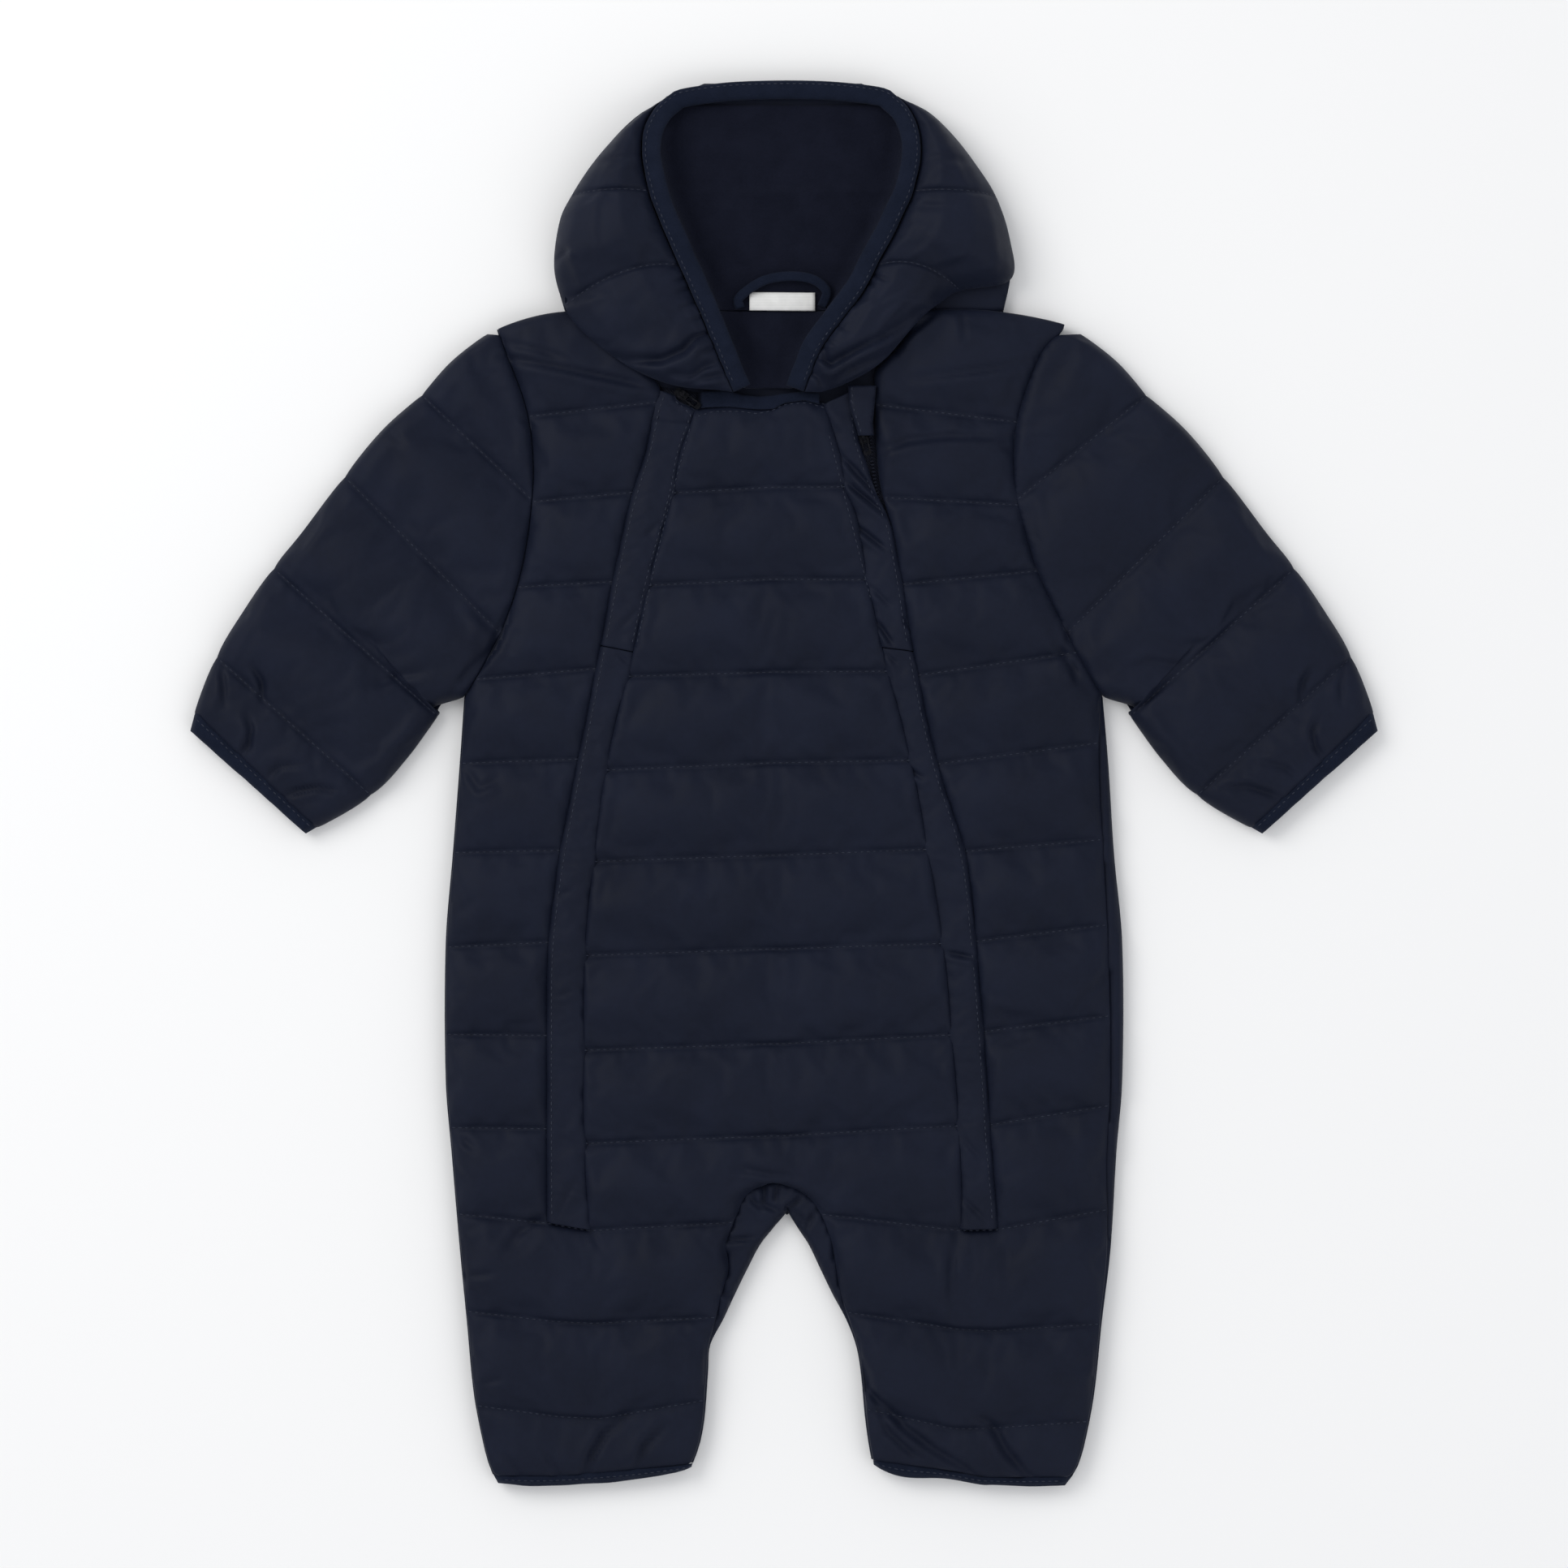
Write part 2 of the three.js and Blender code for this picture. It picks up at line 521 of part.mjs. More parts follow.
// One row of the back, as a left and a right part that share their middle above the gap
function backRow(y0) {
  const c = crossings(y0);
  const level = (x, y) => ({ out: [x, y, backThick], in: [x, y, 0] });
  const left = backSide(c.leftSide, 1, leftInset);
  const right = backSide(c.rightSide, -1, Math.max(insetAt(c.rightSide[1]), leftInset));
  const below = y0 < crotchY;
  const middle = level(...c.frontLeft);
  const leftLeg = below ? backLeg(c.frontLeft, c.gapLeft, y0, 1) : [middle, middle, middle, middle];
  const rightLeg = below ? backLeg(c.frontRight, c.gapRight, y0, -1) : leftLeg;
  return {
    left: [...left, level(...c.leftOut), level(...c.leftIn), ...leftLeg],
    right: [...right, level(...c.rightOut), level(...c.rightIn), ...rightLeg],
  };
}

function buildBack() {
  const levels = bodyRows()
    .map((row) => row.y0)
    .filter((y, i) => i % 2 === 0 || y > 30 || y < crotchY + 1 || y === panelEndY);
  const rows = levels.map(backRow);
  const turned = rows.map((row) => row.right.slice().reverse());
  addWall("back", [...cellsBetween(rows.map((row) => row.left)), ...cellsBetween(turned)], nylon);
}

// Zips and their guards, in the slits
function stripRows(topY, endY) {
  const inside = bodyRows()
    .filter((row) => row.puff === 0 || row.puff > 0.9)
    .map((row) => row.y0)
    .filter((y) => y < topY - 2 && y > endY + 2);
  return [topY, ...inside, endY];
}

function slitRow(y0, hand) {
  const c = crossings(y0);
  return hand === "left" ? [c.leftOut, c.leftIn] : [c.rightIn, c.rightOut];
}

function buildZip(hand) {
  // The left zip runs on above the guard, where its end turns aside with the slider
  const end = hand === "left" ? [166.8, 163.6] : [];
  const rows = [...end, ...stripRows(neckY, zipEndY + 0.4)].map((y0) => {
    const [a, b] = slitRow(y0, hand);
    const coil = b[0] - 2.3 - (hand === "left" ? 0.8 * Math.max(0, y0 - neckY) : 0);
    const corner = (x, top) => {
      const y = mix(a[1], b[1], (x - a[0]) / (b[0] - a[0]));
      return { out: [x, y, top], in: [x, y, frontUnder] };
    };
    return [
      corner(a[0] + 0.6, tapeTop),
      corner(coil - 1.4, coilTop),
      corner(coil + 1.2, coilTop),
      corner(b[0] - 0.6, tapeTop),
    ];
  });
  addWall("zip_" + hand, cellsBetween(rows), zipCloth);
}

// How far the guards stay off the edges of the slits, and how far their zip side is pulled up: they
// are cut back round the sliders
const guardCuts = {
  left: [
    { y: 167, from: 0.6, to: 11, up: 0 },
    { y: 163.5, from: 0.6, to: 10.4, up: 0 },
    { y: 162, from: 0.6, to: 6, up: 0 },
    { y: 160.5, from: 0.6, to: 0.6, up: 0 },
    { y: -188, from: 0.6, to: 0.6, up: 0 },
  ],
  right: [
    { y: 161, from: 0.6, to: 9.4, up: 6.4 },
    { y: 147, from: 0.6, to: 8.6, up: 1.5 },
    { y: 139, from: 0.6, to: 6, up: 0 },
    { y: 129, from: 0.6, to: 4, up: 0 },
    { y: 119, from: 0.6, to: 1.8, up: 0 },
    { y: 111, from: 0.6, to: 0.6, up: 0 },
    { y: -188, from: 0.6, to: 0.6, up: 0 },
  ],
};

function buildGuard(name, hand, topY, endY) {
  const cuts = guardCuts[hand];
  const near = cuts.map((cut) => cut.y).filter((y) => y < topY - 1 && y > Math.max(endY + 1, 100));
  const levels = [...stripRows(topY, endY), ...near].sort((a, b) => b - a);
  const rows = levels.map((y0) => {
    const [a, b] = slitRow(y0, hand);
    const from = [a[0] + straight(cuts, "from", y0), a[1]];
    const to = [b[0] - straight(cuts, "to", y0), b[1] + straight(cuts, "up", y0)];
    const pressed = y0 > 155 && hand === "left" ? 1.4 : 0;
    return [0, 0.22, 0.78, 1].map((t) => {
      const [x, y] = pair(from, to, t);
      const edge = t === 0 || t === 1 ? 1.2 : 0;
      return { out: [x, y, guardUnder + guardThick - edge - pressed], in: [x, y, guardUnder] };
    });
  });
  addWall(name, cellsBetween(rows), nylon);
}

// A flattened tube lying on the floor, in rows from its top edge to its lower edge, straight or
// along the line "across". An open row has no lower edge: its two layers end there, at a seam.
const tubeFloor = 5.7;
const tubeSlit = 0.6;

function tubeCorners(row, full, stitched, flatFloor) {
  const [ux, uy] = row.top;
  const [lx, ly] = row.end;
  const across = row.across || ((t) => [mix(lx, ux, t), mix(ly, uy, t)]);
  const width = Math.hypot(ux - lx, uy - ly);
  const near = Math.min(2, 0.12 * width);
  const far = Math.min(8, 0.3 * width);
  const slitTop = flatFloor + tubeSlit;
  const mid = flatFloor + tubeSlit / 2;
  const high = slitTop + mix(stitched, full, row.puff);
  const edgeIn = Math.min(2.6, 0.16 * width);
  const spot = (d, z) => [...across(d / width), z];
  const corner = (d, z, dIn, zIn) => ({ out: spot(d, z), in: spot(dIn, zIn) });
  const seamTop = Math.min(high, slitTop + 2.9);
  const lower = row.open
    ? { first: corner(0, seamTop, 0, slitTop), second: corner(near, seamTop + 0.2, near, slitTop) }
    : { first: corner(0, mid, edgeIn, mid), second: corner(near, mix(mid, high, 0.62), edgeIn + 1.2, slitTop) };
  const under = row.open
    ? { last: corner(0, 0, 0, flatFloor), before: corner(near, 0, near, flatFloor) }
    : { last: lower.first, before: corner(near, mid * 0.28, edgeIn + 1.2, flatFloor) };
  return [
    lower.first,
    lower.second,
    corner(far, mix(mid, high, 0.94), far, slitTop),
    corner(mix(far, width - far, 0.33), high, mix(far, width - far, 0.33), slitTop),
    corner(mix(far, width - far, 0.67), high, mix(far, width - far, 0.67), slitTop),
    corner(width - far, mix(mid, high, 0.94), width - far, slitTop),
    corner(width - near, mix(mid, high, 0.62), width - edgeIn - 1.2, slitTop),
    corner(width, mid, width - edgeIn, mid),
    corner(width - near, mid * 0.28, width - edgeIn - 1.2, flatFloor),
    corner(width - far, 0, width - far, flatFloor),
    corner(width / 2, 0, width / 2, flatFloor),
    corner(far, 0, far, flatFloor),
    under.before,
    under.last,
  ];
}

function buildSleeve(hand) {
  const sign = hand === "left" ? -1 : 1;
  const positions = [];
  for (let line = 0; line < 8; line += 2)
    for (const step of sleeveSteps) positions.push(line + step);
  positions.push(8, 8.35, 8.75, 9);
  const rows = positions.map((p) => {
    const top = [sign * between(sleeveRows, "topX", p), between(sleeveRows, "topY", p)];
    const open = p < underarmRow - 0.01;
    const endY = between(sleeveRows, "endY", p);
    let end = [sign * between(sleeveRows, "endX", p), endY];
    if (open) {
      const y = Math.max(endY, underarmY + 1);
      end = [curve(armholes, hand, y) + sign * 0.6, y];
    } else if (p < underarmRow + 0.01) {
      end = [sign * sleeveRows[underarmRow].endX, sleeveRows[underarmRow].endY];
    }
    const puff = p < 8 ? bulge((p % 2) / 2) : 0.55 * bulge(p - 8);
    return tubeCorners({ top, end, open, puff }, 7.2, 3, tubeFloor);
  });
  addWall("sleeve_" + hand, cellsBetween(rows), nylon);
}

// Bindings at the ends of the sleeves and legs
const cuffFloor = 4.4;
const cuffLoft = 4.2;

function buildCuff(name, rowAt) {
  const rows = [0, 0.2, 0.8, 1].map((t) => {
    const thin = t === 0 || t === 1 ? 0.5 : 0;
    return tubeCorners({ ...rowAt(t), open: false, puff: 0 }, cuffLoft, cuffLoft - thin, cuffFloor);
  });
  addWall(name, cellsBetween(rows), bindingCloth);
}

function buildSleeveCuff(hand) {
  const sign = hand === "left" ? -1 : 1;
  const last = sleeveRows[sleeveRows.length - 1];
  const clear = 0.05;
  buildCuff("cuff_binding_" + hand, (step) => {
    const t = mix(clear, 1, step);
    return {
      top: [sign * mix(last.topX, cuffEnd.topX, t), mix(last.topY, cuffEnd.topY, t)],
      end: [sign * mix(last.endX, cuffEnd.endX, t), mix(last.endY, cuffEnd.endY, t)],
    };
  });
}

function buildHem(hand) {
  const spots = hems[hand];
  const first = spots[0];
  const last = spots[spots.length - 1];
  buildCuff("hem_binding_" + hand, (t) => {
    const at = (spot) => [mix(spot.seamX, spot.edgeX, t), mix(spot.seam, spot.edge, t)];
    const across = (u) => {
      const x = mix(at(first)[0], at(last)[0], u);
      let i = 1;
      while (i < spots.length - 1 && Math.abs(at(spots[i])[0]) < Math.abs(x)) i++;
      const [from, to] = [at(spots[i - 1]), at(spots[i])];
      return [x, mix(from[1], to[1], (x - from[0]) / (to[0] - from[0]))];
    };
    return { top: at(last), end: at(first), across };
  });
}

// Hood
const rimHalf = 4;
const rimHeight = 4;
const hoodFloor = frontUnder;

function hoodPath() {
  // Centre line of the binding, up the left side, across the crown and down the right side
  const rimZ = (row) => mix(hoodFloor, row.high, 0.72) + 0.8;
  const left = hoodRows.map((row) => ({ x: row.leftRim, y: row.rimY, z: rimZ(row) }));
  const right = hoodRows.map((row) => ({ x: row.rightRim, y: row.rimY, z: rimZ(row) })).reverse();
  return [...left, ...crownRows, ...right];
}

function pathNormal(path, i) {
  const a = path[Math.max(i - 1, 0)];
  const b = path[Math.min(i + 1, path.length - 1)];
  const length = Math.hypot(b.x - a.x, b.y - a.y);
  // To the outside of the opening
  return [-(b.y - a.y) / length, (b.x - a.x) / length];
}

function buildHoodBinding() {
  const path = hoodPath();
  const loops = path.map((p, i) => {
    const [nx, ny] = pathNormal(path, i);
    const spot = (d, z) => [p.x + nx * d, p.y + ny * d, p.z + z];
    const h = rimHeight / 2;
    return [
      spot(-rimHalf, -h * 0.4),
      spot(-rimHalf * 0.8, -h),
      spot(rimHalf * 0.8, -h),
      spot(rimHalf, -h * 0.4),
      spot(rimHalf, h * 0.3),
      spot(rimHalf * 0.6, h),
      spot(-rimHalf * 0.6, h),
      spot(-rimHalf, h * 0.3),
    ];
  });
  addLoft("hood_binding", loops, bindingCloth);
}

function hoodSideRow(position, hand) {
  const path = hoodRows.map((row) => ({ x: row[hand + "Rim"], y: row.rimY }));
  const row = (column) => between(hoodRows, column, position);
  const i = Math.round(position);
  const [nx, ny] = pathNormal(path, Math.min(Math.max(i, 0), path.length - 1));
  const out = hand === "left" ? 1 : -1;
  const rim = [row(hand + "Rim") + out * nx * (rimHalf + 0.5), row("rimY") + out * ny * (rimHalf + 0.5)];
  const outer = [row(hand + "X"), row(hand + "Y")];
  const onLine = hoodQuiltRows.some((k) => Math.abs(k - position) < 0.01);
  const high = row("high");
  return [
    { t: 0, share: 0.7 },
    { t: 0.1, share: 0.88 },
    { t: 0.34, share: 1 },
    { t: 0.62, share: 0.95 },
    { t: 0.84, share: 0.7 },
    { t: 0.95, share: 0.4 },
    { t: 1, share: 0.16 },
  ].map(({ t, share }) => {
    const [x, y] = pair(rim, outer, t);
    const floor = mix(hoodOverBody, hoodFloor, ease((y - 201.6) / 4));
    const dip = onLine && t > 0 && t < 1 ? 3.2 : 0;
    const top = floor + Math.max(1.2, (high - floor) * share - dip);
    return { out: [x, y, top], in: [x, y, floor] };
  });
}

function buildHoodSide(hand) {
  const rows = [];
  for (let p = 0; p <= hoodRows.length - 1; p += 0.5) rows.push(hoodSideRow(p, hand));
  addWall("hood_side_" + hand, cellsBetween(rows), nylon);
}

function buildHoodBack() {
  const rows = hoodBackEdge.map((edge, i) => {
    const end = i === 0;
    return [0, 0.03, 0.12, 0.32, 0.5, 0.68, 0.88, 0.97, 1].map((t) => {
      const x = mix(edge.left, edge.right, t);
      const side = t === 0 || t === 1;
      const nearSide = t === 0.03 || t === 0.97;
      const top = side ? 5 : backThick;
      let under = side ? 2.2 : nearSide ? 0.7 : 0;
      if (end) under = Math.max(under, 1.6);
      return { out: [x, edge.y, top], in: [x, edge.y, under] };
    });
  });
  addWall("hood_back", cellsBetween(rows), nylon);
}

// Fleece inside the hood and behind the neck: level in the middle, up under the binding at the sides
const liningSpots = [
  { away: 0, rise: 1 },
  { away: 1.5, rise: 0.6 },
  { away: 3.5, rise: 0.2 },
  { away: 6.5, rise: 0 },
];
const liningThick = 2;
const liningFloor = frontUnder + seamGap;
const hoodDown = hoodRows.map((row) => ({ ...row, y: row.rimY })).reverse();

function liningRow(y, share) {
  const left = curve(hoodDown, "leftRim", y) + 1.5;
  const right = curve(hoodDown, "rightRim", y) - 1.5;
  const under = mix(hoodFloor, curve(hoodDown, "high", y), 0.72) - rimHeight / 2 - seamGap;
  const level = liningFloor + liningThick;
  const spots = liningSpots.map(({ away, rise }) => ({
    t: Math.min(away / (right - left), 0.4),
    top: mix(level, Math.max(level, under), rise * share),
  }));
  const mirrored = spots.map(({ t, top }) => ({ t: 1 - t, top })).reverse();
  return [...spots, { t: 0.5, top: level }, ...mirrored].map(({ t, top }) => {
    const x = mix(left, right, t);
    return { out: [x, y, top], in: [x, y, top - liningThick] };
  });
}

// The lining's last row, low under the binding of the crown
function crownRow(y, halfWidth) {
  const first = liningRow(y, 0);
  return first.map((corner, k) => {
    const x = mix(-halfWidth, halfWidth, k / (first.length - 1)) - 1;
    return { out: [x, y, 7.4], in: [x, y, 6.9] };
  });
}

function buildLinings() {
  const hoodLevels = [286, 276, 266, 255, 244, 233, 222, 212, 206, 201.6];
  const hoodRowsDown = hoodLevels.map((y) => liningRow(y, y > 280 ? 0.35 : 1));
  addWall("hood_lining", cellsBetween([crownRow(290.5, 41), ...hoodRowsDown]), fleece);
  const neckLevels = [201.1, 195, 188, 181, 174, 168.4];
  addWall("neck_lining", cellsBetween(neckLevels.map((y) => liningRow(y, 0.8))), fleece);
}

// Facing behind the top edge of the front, hanger loop and label
function buildNeckParts() {
  const facing = [
    { x: -35.4, low: 161.2, top: 167 },
    { x: -24, low: 161.7, top: 167.4 },
    { x: -18, low: 161.1, top: 165.5 },
    { x: -11, low: 160.5, top: 164.7 },
    { x: -4.5, low: 160.6, top: 165.2 },
    { x: 0, low: 163.2, top: 166 },
    { x: 8.6, low: 164.6, top: 167 },
    { x: 15, low: 162.8, top: 166.4 },
  ].map((row) => [0, 1].map((t) => {
    const y = mix(row.low, row.top, t);
    return { out: [row.x, y, 10.8 - t * 0.4], in: [row.x, y, 9] };
  }));
  addWall("neck_facing", cellsBetween(facing), bindingCloth);
  const loop = [
    { x: -18.6, y: 202.4, z: 10 },
    { x: -16.6, y: 206, z: 10.6 },
    { x: -9, y: 212, z: 11.6 },
    { x: 1.5, y: 214.2, z: 12 },
    { x: 12, y: 212.6, z: 11.6 },
    { x: 17, y: 208, z: 11.2 },
    { x: 15.8, y: 202.8, z: 10.2 },
  ];
  const loops = loop.map((p, i) => {
    const [nx, ny] = pathNormal(loop, i);
    const half = 2.2;
    const spot = (d, z) => [p.x + nx * d, p.y + ny * d, p.z + z];
    return [spot(-half, 0), spot(half, 0), spot(half, 1.4), spot(-half, 1.4)];
  });
  addLoft("hanger_loop", loops, bindingCloth);
  const label = [202, 205, 209].map((y, row) => [-14.6, -5, 4, 13.2].map((x) => {
    const z = 9.25 + row * 0.02;
    return { out: [x, y, z + 0.5], in: [x, y, z] };
  }));
  addWall("neck_label", cellsBetween(label), whiteTape);
}

// Sliders and pull tabs. Each is made along +X from the hinge line and then turned to its place.
const pulls = {
  left: { x: -43.2, y: 165.4, z: 11.55, turn: -35.5, length: 9 },
  right: { x: 33.9, y: 147, z: 11.55, turn: -75, length: 7.4 },
};
const slider = { back: 3.6, front: 2.2, half: 1.9, thick: 1.8 };
const bridge = { half: 0.6, inside: 0.9, post: 0.7, top: 0.6, clear: 1.7 };
const tab = { half: 1.55, bar: 0.75, thick: 0.8, side: 0.6, grip: 1.8, corner: 0.6 };
const solids = await Module();
solids.setup();

function block(x1, x2, y1, y2, z1, z2) {
  return solids.Manifold.cube([x2 - x1, y2 - y1, z2 - z1]).translate([x1, y1, z1]);
}

function addTurned(name, pull, solid, finish) {
  const placed = solid.rotate([0, 0, pull.turn]).translate([pull.x, pull.y, pull.z]);
  const { vertProperties, triVerts } = placed.getMesh();
  const positions = [];
  for (let i = 0; i < vertProperties.length; i += 3) positions.push([...vertProperties.slice(i, i + 3)]);
  addMesh(name, positions, [...triVerts], finish);
}

function buildPull(hand) {
  const pull = pulls[hand];
  const s = slider;
  const b = bridge;
  const t = tab;
  const floor = -b.clear / 2;
  const nose = block(-s.back + 1, s.front, -s.half, s.half, floor - s.thick, floor);
  const tail = block(-s.back, s.front, -s.half + 0.8, s.half - 0.8, floor - s.thick, floor);
  const body = solids.Manifold.hull([nose, tail]);
  const reach = b.inside + b.post;
  const arch = block(-reach, reach, -b.half, b.half, floor - 0.1, -floor + b.top);
  const eye = block(-b.inside, b.inside, -b.half - 1, b.half + 1, floor, -floor);
  addTurned("slider_" + hand, pull, body.add(arch).subtract(eye), darkMetal);
  const start = -t.bar / 2;
  const long = block(start, pull.length - t.corner, -t.half, t.half, -t.thick / 2, t.thick / 2);
  const narrow = block(start, pull.length, t.corner - t.half, t.half - t.corner, -t.thick / 2, t.thick / 2);
  const window = block(t.bar / 2, pull.length - t.grip, t.side - t.half, t.half - t.side, -t.thick, t.thick);
  addTurned("pull_tab_" + hand, pull, solids.Manifold.hull([long, narrow]).subtract(window), darkMetal);
}

// Garage: a folded patch over the right slider
function buildGarage() {
  const rows = [
    { y: 169.2, left: 27.2, right: 39.2 },
    { y: 160, left: 27.8, right: 38.4 },
    { y: 153, left: 30.2, right: 37.6 },
    { y: 148, left: 31.6, right: 38.1 },
  ].map((row, i) => [0, 0.12, 0.88, 1].map((t) => {
    const x = mix(row.left, row.right, t);
    const top = 15.9 - (t === 0 || t === 1 ? 0.8 : 0) - (i === 0 ? 1.4 : 0);
    return { out: [x, row.y, top - 0.6], in: [x, row.y, 13.4] };
  }));
  addWall("zip_garage", cellsBetween(rows), nylon);
}

buildFront();
buildBack();
for (const hand of ["left", "right"]) {
  buildZip(hand);
  buildSleeve(hand);
  buildHoodSide(hand);
  buildPull(hand);
  buildSleeveCuff(hand);
  buildHem(hand);
}
buildGuard("zip_guard_left_upper", "left", 165.6, guardSeamY + 0.2);
buildGuard("zip_guard_left_lower", "left", guardSeamY - 0.2, zipEndY + 0.4);
buildGuard("zip_guard_right_upper", "right", neckY, guardSeamY + 0.2);
buildGuard("zip_guard_right_lower", "right", guardSeamY - 0.2, zipEndY + 0.4);
buildHoodBack();
buildHoodBinding();
buildLinings();
buildNeckParts();
buildGarage();

export default suit;
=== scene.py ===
import math
import time
import bmesh
import bpy
import numpy as np
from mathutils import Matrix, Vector, noise
from mathutils.bvhtree import BVHTree


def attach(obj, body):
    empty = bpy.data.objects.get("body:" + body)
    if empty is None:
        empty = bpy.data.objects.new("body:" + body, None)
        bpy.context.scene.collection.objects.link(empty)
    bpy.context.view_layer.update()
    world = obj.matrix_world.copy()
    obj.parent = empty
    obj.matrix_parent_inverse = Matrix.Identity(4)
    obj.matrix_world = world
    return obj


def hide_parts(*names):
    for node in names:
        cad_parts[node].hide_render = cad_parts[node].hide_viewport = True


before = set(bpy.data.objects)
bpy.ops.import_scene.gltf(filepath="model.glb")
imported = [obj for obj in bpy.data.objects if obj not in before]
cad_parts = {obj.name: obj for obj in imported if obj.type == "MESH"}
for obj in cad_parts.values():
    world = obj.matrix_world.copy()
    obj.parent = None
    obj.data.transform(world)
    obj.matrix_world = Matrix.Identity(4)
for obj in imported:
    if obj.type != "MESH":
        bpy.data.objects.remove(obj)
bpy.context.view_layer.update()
scene = bpy.context.scene
started = time.time()
mm = 0.001


def say(text):
    print(f"{time.time() - started:6.1f} s  {text}")


# Camera straight above the cloth; the square frame is 666.5 mm wide there
cameraSet = {"away": 3.2, "wide": 0.6665, "level": 0.012, "sensor": 36}
lens = bpy.data.cameras.new("camera")
lens.sensor_width = cameraSet["sensor"]
lens.lens = cameraSet["sensor"] * cameraSet["away"] / cameraSet["wide"]
camera = bpy.data.objects.new("camera", lens)
camera.location = (0, 0, cameraSet["away"] + cameraSet["level"])
scene.collection.objects.link(camera)
scene.camera = camera


# Pattern of the suit in millimetres: lines of quilting and edges of the parts
backThick = 6.3
frontUnder = 6.6
shoulderY = 196.5
neckY = 161
zipEndY = -187.7
crotchY = -168.7
gapApexY = -181
underarmY = 38
panelEndY = -281.2
guardSeamY = 58.3
quiltLines = [161, 126.3, 87.3, 48, 9, -29.7, -68.7, -108.3, -149.7, -187.7, -227.4, -268.8]

armholes = [  # height, left, right
    (193.5, -122.2, 119), (185, -119.5, 110.5), (164, -111.5, 102), (147, -108, 98.5),
    (126, -107.5, 98.7), (95, -111.5, 106.6), (68, -119.5, 118.7), (54, -126.5, 126), (38, -136, 135.5)]
sideSeams = [  # height, left, right, how far the back shows on the right
    (38, -136, 135.5, 1.2), (9, -138, 138, 4.5), (-30, -141, 140.5, 5), (-68, -144, 144, 6.5),
    (-126, -144, 144, 5.5), (-157, -141.5, 141.5, 4.5), (-198, -138, 139, 2), (-229, -135, 135.3, 1.2),
    (-260, -132, 132, 1.2), (-281, -128, 128, 1.2), (-290, -125.6, 125.3, 1.2), (-295, -123.6, 122.6, 1.2),
    (-299, -121.4, 119.6, 1.2)]
slits = [  # height, then the four edges from left to right
    (201, -86, -34, 16, 56), (186, -72, -35, 16, 49), (177, -60, -36, 16.5, 39.5),
    (168, -52.8, -36.4, 16.8, 38.8), (160, -54.9, -36.8, 17.3, 38.9), (141, -58.8, -43.4, 22.8, 39.8),
    (126, -63.5, -46.2, 26, 41.6), (113, -67, -49.5, 30.2, 44.9), (87, -72.5, -56.6, 34.8, 49.8),
    (58, -78, -63, 41, 54.5), (9, -87.6, -74.6, 53.4, 65), (-30, -95.2, -79.9, 60.6, 77),
    (-69, -100, -83.8, 66.9, 81.6), (-108, -100.6, -84.5, 70.7, 84.9), (-150, -100.6, -84.4, 73.8, 87.6),
    (-188, -100.4, -82.3, 74.9, 90.4), (-228, -98.5, -80.5, 73.5, 89), (-290, -95, -76, 70, 87)]
insideLegs = [  # height, seams of the front, edges of the gap
    (-168.7, -4.5, -4.5, -1, -1), (-173.3, -15, 8, 0, 0), (-181, -19.5, 15, 1.4, 1.4),
    (-188.6, -22.7, 18.5, -4.3, 5.7), (-196, -25.2, 21, -10.2, 10.6), (-206, -24, 22.6, -15.5, 15.4),
    (-217, -27, 24.6, -20.9, 20.7), (-228, -29.6, 28.2, -26, 26.6), (-239, -32.6, 31.8, -31.6, 30.8),
    (-250, -33.5, 33.8, -32.5, 32.8), (-270, -35, 35.7, -34, 34.7), (-281, -37, 37.2, -36, 36.2),
    (-291, -40.5, 39, -39.5, 38)]
longEdges = ("leftSide", "leftOut", "leftIn", "frontLeft", "gapLeft",
             "gapRight", "frontRight", "rightIn", "rightOut", "rightSide")
climbs = [  # height of a row of quilting, then how far it climbs where it meets each long edge
    (196.5, -3, 4.4, 3.7, 3.7, 3.7, 3.7, 3.7, 4, 4.4, -1.2),
    (161, -4.6, 1.5, -1.1, 0, 0, 0, 0, 0.4, 0.4, -7.1),
    (126.3, -6.2, -2.2, -2.5, 0, 0, 0, 0, 0.1, -4.4, -7.6),
    (87.3, -3.5, -1.2, -2.8, -0.2, -0.2, -0.2, -0.2, -0.4, -2.4, 3.4),
    (48, -3.5, 1.2, -2.2, -0.4, -0.4, -0.4, -0.4, 0, -1.8, 8),
    (9, -0.2, 1.6, -3.1, 0, 0, 0, 0, 1.1, -0.5, 8.4),
    (-29.7, 0.5, 1.5, -3.3, -0.6, -0.6, -0.6, -0.6, 1.9, 1, 6),
    (-68.7, -0.7, 1.4, -4.3, -1.5, -1.5, -1.5, -1.5, 0.9, 1.7, 8.7),
    (-108.3, 1.8, 1.3, -5, -2.2, -2.2, -2.2, -2.2, 1.6, 2.9, 9.6),
    (-149.7, 3.5, 3, -3.2, 0, 0, 0, 0, 4.3, 4.6, 12.8),
    (-168.7, 4, 1.9, -2.8, 0, 0, 0, 0, 1, 1.4, 9.6),
    (-187.7, 4.7, 0.8, -2.4, 1.2, 0, 0, 4.6, -2.4, -2, 6.5),
    (-227.4, 3, -1.2, -2, 0.4, 0.4, 2.6, 2.6, -4.5, -5.2, -2.4),
    (-268.8, 4.2, -0.3, -1.2, 6.5, 6.5, 2.8, 2.8, -5.5, -5.3, -2.5),
    (-281.2, -12.8, -13, -11.4, -7.8, -7.8, -6.4, -6.4, -10.6, -13.6, -13.3)]
neckWave = [(-37, 0), (-24, 0.6), (-11, -1.1), (-4.5, -1), (0, 1.4), (8.6, 2.7), (15.6, 0.6), (18, 0)]
